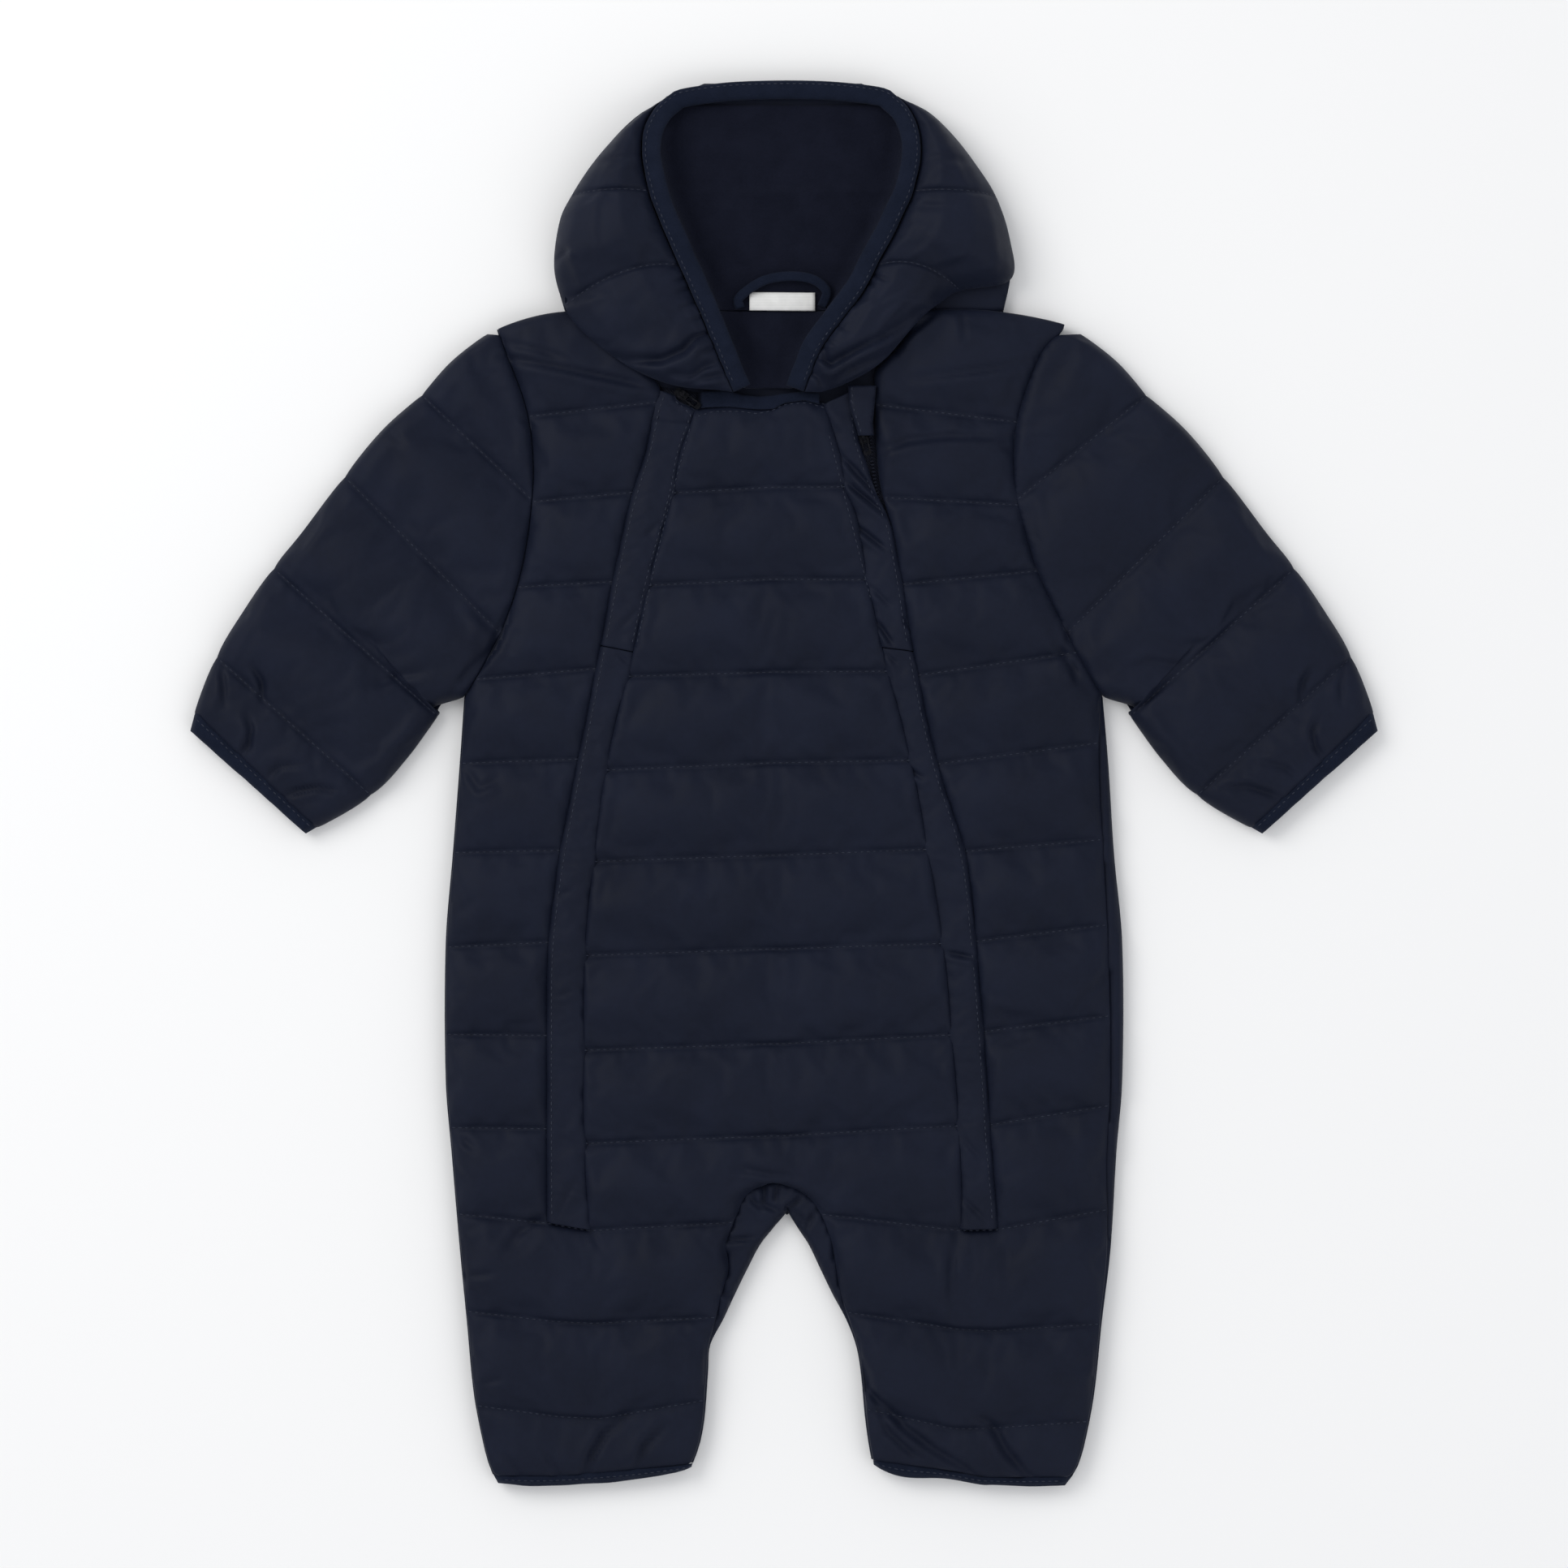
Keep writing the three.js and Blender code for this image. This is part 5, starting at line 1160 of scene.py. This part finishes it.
def makeHoodSide(hand, s):
    rows = [hoodRow(p, hand, s) for p in np.round(np.arange(0, s["lines"][-1] + s["step"] / 2, s["step"]), 6)]
    cloth = acrossSheet("hoodSide_" + hand, rows, s["spacing"])
    side = cloth.build()
    points = swell(side, cloth.pins, s["cloth"])
    lines = []
    for p in s["lines"][1:-1]:
        row = hoodRow(p, hand, s)
        lines.append([(mix(row["from"][0], row["to"][0], t),
                       mix(row["from"][1], row["to"][1], t) + row["bow"] * 4 * t * (1 - t))
                      for t in np.linspace(0.04, 0.97, 22)])
    writePoints(side, points)
    finer(side, cloth.pins)
    points = press(pucker(readPoints(side), lines, hoodPucker), hoodCreases[hand])
    floors = np.array([hoodFloorAt(y) for y in points[:, 1]])
    points[:, 2] = np.maximum(points[:, 2], floors + 1)
    writePoints(side, points)
    closeUnder(side, [(-0.1, lambda place: hoodFloorAt(place.y / mm) * mm)])
    sewnLines.extend(lines)
    sewnOn.append(side)
    finishPiece(side, "nylon", "hood_side_" + hand)


for hand in ("left", "right"):
    makeHoodSide(hand, hoodSet)


def rimHeightAt(high):
    return mix(frontUnder, high, 0.72) + 0.8


def sweep(name, path, section):
    # section holds distances across and heights; path holds centre points
    cloth = Cloth(name)
    path = np.array(path, float)
    rings = []
    for k, place in enumerate(path):
        along = path[min(k + 1, len(path) - 1)] - path[max(k - 1, 0)]
        side = np.array([-along[1], along[0]]) / math.hypot(along[0], along[1])
        ring = []
        for n, (d, z) in enumerate(section):
            corner = (place[0] + side[0] * d, place[1] + side[1] * d, place[2] + z)
            ring.append(cloth.point((k, n), corner, False))
        rings.append(ring)
    for a, b in zip(rings, rings[1:]):
        for n in range(len(section)):
            m = (n + 1) % len(section)
            cloth.face([a[n], a[m], b[m], b[n]])
    cloth.faces += [rings[0], rings[-1][::-1]]
    return outwards(cloth.build())


def smoothPath(points, step):
    table = [tuple(p) for p in points]
    steps = np.linspace(0, len(table) - 1, 40 * len(table))
    dense = np.array([[countedAt(table, c, q) for c in range(3)] for q in steps])
    far = np.concatenate([[0], np.cumsum(np.linalg.norm(np.diff(dense, axis=0), axis=1))])
    at = np.linspace(0, far[-1], max(3, round(far[-1] / step)))
    return np.stack([np.interp(at, far, dense[:, c]) for c in range(3)], axis=1), far[-1]


bindingSet = {"half": 4.0, "high": 2.1, "step": 1.8}


def makeHoodBinding(s):
    left = [(r[1], r[0], rimHeightAt(r[7])) for r in hoodRows]
    right = [(r[2], r[0], rimHeightAt(r[7])) for r in hoodRows][::-1]
    path, length = smoothPath(left + crownRows + right, s["step"])
    h, w = s["high"], s["half"]
    section = [(-w, -h * 0.2), (-w * 0.9, -h * 0.8), (-w * 0.6, -h), (w * 0.6, -h), (w * 0.9, -h * 0.8),
               (w, -h * 0.2), (w * 0.97, h * 0.35), (w * 0.8, h * 0.8), (w * 0.4, h),
               (-w * 0.1, h * 1.05), (-w * 0.5, h * 0.95),
               (-w * 0.85, h * 0.7), (-w, h * 0.3)]
    binding = sweep("hoodBinding", path, section)
    points = readPoints(binding)
    points[:, 2] += 0.3 * grain(points, 6, 5.5)
    points[:, 0] += 0.3 * grain(points, 9, 8.5)
    writePoints(binding, points)
    sewnOn.append(binding)
    offset = []
    for k in range(3, len(path) - 3):
        along = path[k + 1] - path[k - 1]
        side = np.array([-along[1], along[0]]) / math.hypot(along[0], along[1])
        offset.append((path[k][0] + side[0] * 2.4, path[k][1] + side[1] * 2.4))
    sewnLines.append(offset)
    finishPiece(binding, "binding_cloth", "hood_binding")


makeHoodBinding(bindingSet)

hoodBackEdge = [(298.4, -34, 33), (292, -49, 49), (285, -62, 61), (271, -76, 75), (257, -86, 84), (244, -93, 92),
                (230, -97, 96), (216, -97, 96.3), (201.3, -93.2, 93.3)]


def makeHoodBack():
    rows = []
    heights = np.linspace(298.4, 201.3, 48)
    for y in heights:
        left, right = curveAt(hoodBackEdge, 1, y), curveAt(hoodBackEdge, 2, y)
        rim = 0.6 + 0.4 * min(1, (298.4 - y) / 5)

        def height(d, width, rim=rim):
            return rounded(5.0, backThick, min(d, width - d), 4) * rim
        rows.append({"from": (left, y), "to": (right, y), "height": height})
    cloth = acrossSheet("hoodBackShell", rows, 3.2)
    piece = cloth.build()
    closeUnder(piece, [(0.2, 2.6), (-1.2, 0.8), (-4, 0.0)])
    finishPiece(piece, "nylon", "hood_back")


makeHoodBack()
say("hood done")

# Linings
hoodDown = [(r[0], r[1], r[2], r[7]) for r in hoodRows][::-1]
liningSet = {"thick": 1.6, "level": 8.9, "spacing": 2.2}
liningCreases = [
    ([(-50, 256), (-10, 255), (30, 256.5), (50, 255)], 3.6, 1.5), ([(24, 250), (22, 266), (20, 280)], 5, 0.8),
    ([(40, 262), (36, 274), (34, 286)], 4, 0.9), ([(-38, 262), (-30, 276), (-28, 286)], 4, 0.8),
    ([(-10, 222), (-4, 236), (-6, 248)], 5, 0.5), ([(30, 220), (34, 232), (44, 246)], 4, 0.7),
    ([(-30, 214), (-38, 226), (-46, 240)], 4, 0.6), ([(8, 270), (4, 282)], 4, 0.6)]


def liningRow(y, share, s):
    left, right = curveAt(hoodDown, 1, y) + 1.5, curveAt(hoodDown, 2, y) - 1.5
    under = mix(frontUnder, curveAt(hoodDown, 3, y), 0.72) - 2.3

    def height(d, width):
        near = min(d, width - d)
        rise = float(np.interp(near, [0, 1.5, 3.5, 6.5], [1, 0.6, 0.2, 0]))
        return mix(s["level"], max(s["level"], under), rise * share)
    return {"from": (left, y), "to": (right, y), "height": height}


def makeLining(name, node, levels, shareAt, creases, lumps, s):
    rows = [liningRow(y, shareAt(y), s) for y in levels]
    cloth = acrossSheet(name, rows, s["spacing"])
    lining = cloth.build()
    points = readPoints(lining)
    points[:, 2] += lumps * grain(points, 17, 31.0) + 0.4 * lumps * grain(points, 7, 33.0)
    points = press(points, creases)
    points[:, 2] -= 1.3 * ease((points[:, 1] - 256) / 4) * (points[:, 2] < s["level"] + 2)
    points[:, 2] = np.maximum(points[:, 2], 7.6)
    writePoints(lining, points)
    finer(lining)
    solid = lining.modifiers.new("thick", "SOLIDIFY")
    solid.thickness = s["thick"] * mm
    solid.offset = -1
    shown = lining.evaluated_get(bpy.context.evaluated_depsgraph_get())
    mesh = bpy.data.meshes.new_from_object(shown)
    lining.modifiers.clear()
    lining.data = mesh
    finishPiece(lining, "fleece", node)
    return lining


makeLining("hoodLining", "hood_lining", np.linspace(289, 201.6, 44), lambda y: 0.35 if y > 280 else 1.0,
           liningCreases, 0.7, liningSet)
makeLining("neckLining", "neck_lining", np.linspace(201.1, 168.4, 18), lambda y: 0.8,
           [([(1, 200), (0, 184), (-1, 169)], 1.6, 0.8), ([(-20, 198), (-16, 186)], 4, 0.5),
            ([(14, 196), (10, 184)], 4, 0.5)], 0.5, liningSet)
say("linings done")


# Loop, label, facing and garage
def makeLoop():
    spots = [(-18.6, 202.4, 10), (-19, 206.8, 10.6), (-9, 213.8, 11.6), (2.4, 215.8, 12), (12.4, 214.4, 11.6),
             (18, 209.4, 11.2), (16.2, 203, 10.2)]
    path, length = smoothPath(spots, 1.2)
    section = [(-1.9, 0.1), (-1.4, -0.05), (1.4, -0.05), (1.9, 0.1), (2, 0.7), (1.8, 1.25), (1, 1.45), (0, 1.3),
               (-1, 1.45), (-1.8, 1.25), (-2, 0.7)]
    loop = sweep("hangerLoop", path, section)
    finishPiece(loop, "binding_cloth", "hanger_loop")


def makeSmallSheet(name, node, slot, rows, thick, lump):
    cloth = acrossSheet(name, rows, 1.2)
    piece = cloth.build()
    points = readPoints(piece)
    points[:, 2] += lump * grain(points, 5, 44.0)
    writePoints(piece, points)
    solid = piece.modifiers.new("thick", "SOLIDIFY")
    solid.thickness = thick * mm
    solid.offset = -1
    shown = piece.evaluated_get(bpy.context.evaluated_depsgraph_get())
    mesh = bpy.data.meshes.new_from_object(shown)
    piece.modifiers.clear()
    piece.data = mesh
    finishPiece(piece, slot, node)
    return piece


def makeLabelPiece():
    rows = [{"from": (-14.7, y), "to": (13.2, y - 0.2),
             "height": lambda d, width, y=y: 9.9 + 0.5 * math.sin((y - 201) / 7.5 * math.pi)}
            for y in np.linspace(209.2, 201.4, 9)]
    makeSmallSheet("neckLabel", "neck_label", "white_tape", rows, 0.4, 0.15)


def makeFacing():
    facing = [(-35.4, 161.2, 167), (-24, 161.7, 167.4), (-18, 161.1, 165.5), (-11, 160.5, 164.7),
              (-4.5, 160.6, 165.2), (0, 163.2, 166), (8.6, 164.6, 167), (15, 162.8, 166.4)]
    across = [f[0] for f in facing]
    rows = []
    for x in np.linspace(-35.4, 15, 43):
        low, top = (float(np.interp(x, across, [f[n] for f in facing])) for n in (1, 2))
        rows.append({"from": (x, top), "to": (x, low - 1.2),
                     "height": lambda d, width: 10.6 - 0.4 * math.cos(math.pi * d / width)})
    makeSmallSheet("neckFacing", "neck_facing", "binding_cloth", rows, 1.4,
                   0.2)


def makeGarage():
    spots = [(169.2, 27.2, 39.2), (160, 27.8, 38.4), (153, 30.2, 37.6), (148, 31.6, 38.1)]
    rows = []
    for y in np.linspace(169.2, 148, 18):
        left, right = (straightAt(spots, n, y) for n in (1, 2))
        tuck = 1.3 * float(ease((y - 161) / 7))

        def height(d, width, tuck=tuck):
            return rounded(14.4, 15.5, min(d, width - d), 2.4) - tuck
        rows.append({"from": (left, y), "to": (right, y), "height": height})
    makeSmallSheet("zipGarage", "zip_garage", "nylon", rows, 1.6,
                   0.3)
    sewnLines.append([(28.9, 168), (29.4, 160), (31.4, 153.6), (32.6, 150)])
    sewnOn.append(bpy.data.objects["zipGarage"])



makeLoop()
makeLabelPiece()
makeFacing()
makeGarage()
for name in ("slider_left", "slider_right", "pull_tab_left", "pull_tab_right"):
    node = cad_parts[name]
    node.data.materials.clear()
    node.data.materials.append(finishes["dark_metal"])


# Thread and zip teeth
def beadTree(name, material):
    # small rounded beads at an even pitch along lines
    tree = bpy.data.node_groups.new(name, "GeometryNodeTree")
    tree.interface.new_socket("Lines", in_out="INPUT", socket_type="NodeSocketGeometry")
    for title in ("Pitch", "Length", "Width", "Height"):
        tree.interface.new_socket(title, in_out="INPUT", socket_type="NodeSocketFloat")
    tree.interface.new_socket("Beads", in_out="OUTPUT", socket_type="NodeSocketGeometry")

    def node(kind, **settings):
        made = tree.nodes.new(kind)
        for key, value in settings.items():
            setattr(made, key, value)
        return made
    link = tree.links.new
    start, end = node("NodeGroupInput"), node("NodeGroupOutput")
    line = node("GeometryNodeMeshToCurve")
    upright = node("GeometryNodeSetCurveNormal", mode="Z_UP")
    spread = node("GeometryNodeCurveToPoints", mode="LENGTH")
    bead = node("GeometryNodeMeshIcoSphere")
    bead.inputs["Radius"].default_value = 1
    bead.inputs["Subdivisions"].default_value = 1
    size = node("ShaderNodeCombineXYZ")
    vary = node("FunctionNodeRandomValue", data_type="FLOAT")
    vary.inputs["Min"].default_value = 0.86
    vary.inputs["Max"].default_value = 1.1
    vary.inputs["Seed"].default_value = 5
    scaled = node("ShaderNodeVectorMath", operation="SCALE")
    placed = node("GeometryNodeInstanceOnPoints")
    real = node("GeometryNodeRealizeInstances")
    paint = node("GeometryNodeSetMaterial")
    paint.inputs["Material"].default_value = material
    link(start.outputs["Lines"], line.inputs[0])
    link(line.outputs[0], upright.inputs["Curve"])
    link(upright.outputs[0], spread.inputs["Curve"])
    link(start.outputs["Pitch"], spread.inputs["Length"])
    link(start.outputs["Width"], size.inputs["X"])
    link(start.outputs["Height"], size.inputs["Y"])
    link(start.outputs["Length"], size.inputs["Z"])
    link(size.outputs[0], scaled.inputs[0])
    link(vary.outputs[1], scaled.inputs["Scale"])
    link(spread.outputs["Points"], placed.inputs["Points"])
    link(bead.outputs[0], placed.inputs["Instance"])
    link(spread.outputs["Rotation"], placed.inputs["Rotation"])
    link(scaled.outputs[0], placed.inputs["Scale"])
    link(placed.outputs[0], real.inputs[0])
    link(real.outputs[0], paint.inputs[0])
    link(paint.outputs[0], end.inputs[0])
    return tree


def beadsAlong(name, lines, sizes, material):
    points, edges = [], []
    for line in lines:
        edges += [(len(points) + k, len(points) + k + 1) for k in range(len(line) - 1)]
        points += [(x * mm, y * mm, z * mm) for x, y, z in line]
    mesh = bpy.data.meshes.new(name)
    mesh.from_pydata(points, edges, [])
    piece = bpy.data.objects.new(name, mesh)
    scene.collection.objects.link(piece)
    tree = beadTree(name + "Nodes", material)
    maker = piece.modifiers.new("beads", "NODES")
    maker.node_group = tree
    for item in tree.interface.items_tree:
        if item.name in sizes:
            maker[item.identifier] = sizes[item.name] * mm
    shown = piece.evaluated_get(bpy.context.evaluated_depsgraph_get())
    plain = bpy.data.meshes.new_from_object(shown)
    piece.modifiers.clear()
    piece.data = plain
    for polygon in plain.polygons:
        polygon.use_smooth = True
    say(f"{name}: {len(plain.polygons)} faces")
    return piece


def along(line, pitch):
    # more points on the same line
    line = np.array(line, float)
    far = np.concatenate([[0], np.cumsum(np.linalg.norm(np.diff(line, axis=0), axis=1))])
    at = np.linspace(0, far[-1], max(3, round(far[-1] / pitch)))
    return list(zip(np.interp(at, far, line[:, 0]), np.interp(at, far, line[:, 1])))


def onCloth(line, trees, lift):
    found = []
    for x, y in line:
        hits = [tree.ray_cast(Vector((x * mm, y * mm, 0.08)), Vector((0, 0, -1)))[0] for tree in trees]
        tops = [hit.z for hit in hits if hit]
        if tops:
            found.append((x, y, max(tops) / mm + lift))
    return found


stitchSet = {"Pitch": 2.7, "Length": 0.95, "Width": 0.27, "Height": 0.22}
teethSet = {"Pitch": 1.5, "Length": 0.5, "Width": 1.3, "Height": 0.55}


def makeThreads():
    shapes = [piece.data for piece in sewnOn]
    trees = [BVHTree.FromPolygons([v.co for v in shape.vertices], [f.vertices for f in shape.polygons])
             for shape in shapes]
    lines = [onCloth(line, trees, 0.1) for line in sewnLines + [along(row, 2) for row in frontEdgeRows]]
    threads = beadsAlong("stitches", [line for line in lines if len(line) > 1], stitchSet, finishes["thread"])
    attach(threads, "suit")
    teeth = beadsAlong("zipTeeth", zipPaths, teethSet, finishes["zip_cloth"])
    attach(teeth, "suit")


makeThreads()
say("threads done")


# Floor and light
def addLight(name, place, size, power, colour):
    lamp = bpy.data.lights.new(name, "AREA")
    lamp.shape = "DISK"
    lamp.size = size
    lamp.energy = power
    lamp.color = colour
    held = bpy.data.objects.new(name, lamp)
    held.location = place
    held.rotation_euler = (-Vector(place)).to_track_quat("-Z", "Y").to_euler()
    scene.collection.objects.link(held)


def makeStage():
    bpy.ops.mesh.primitive_plane_add(size=6, location=(0, 0, -0.0004))
    floor = bpy.context.object
    floor.name = "floor"
    paint = bpy.data.materials.new("floorPaint")
    paint.use_nodes = True
    shader = paint.node_tree.nodes["Principled BSDF"]
    shader.inputs["Base Color"].default_value = (0.95, 0.95, 0.95, 1)
    shader.inputs["Roughness"].default_value = 0.9
    floor.data.materials.append(paint)
    world = bpy.data.worlds.new("world")
    world.use_nodes = True
    world.node_tree.nodes["Background"].inputs["Color"].default_value = (0.97, 0.98, 1, 1)
    world.node_tree.nodes["Background"].inputs["Strength"].default_value = 0.72
    scene.world = world
    scene.view_settings.view_transform = "Standard"
    addLight("key", (-1.2, 0.9, 1.5), 1.3, 16, (1, 0.99, 0.97))
    addLight("fill", (1.2, -0.9, 1.7), 1.6, 5, (0.95, 0.97, 1))


makeStage()
bpy.context.view_layer.update()
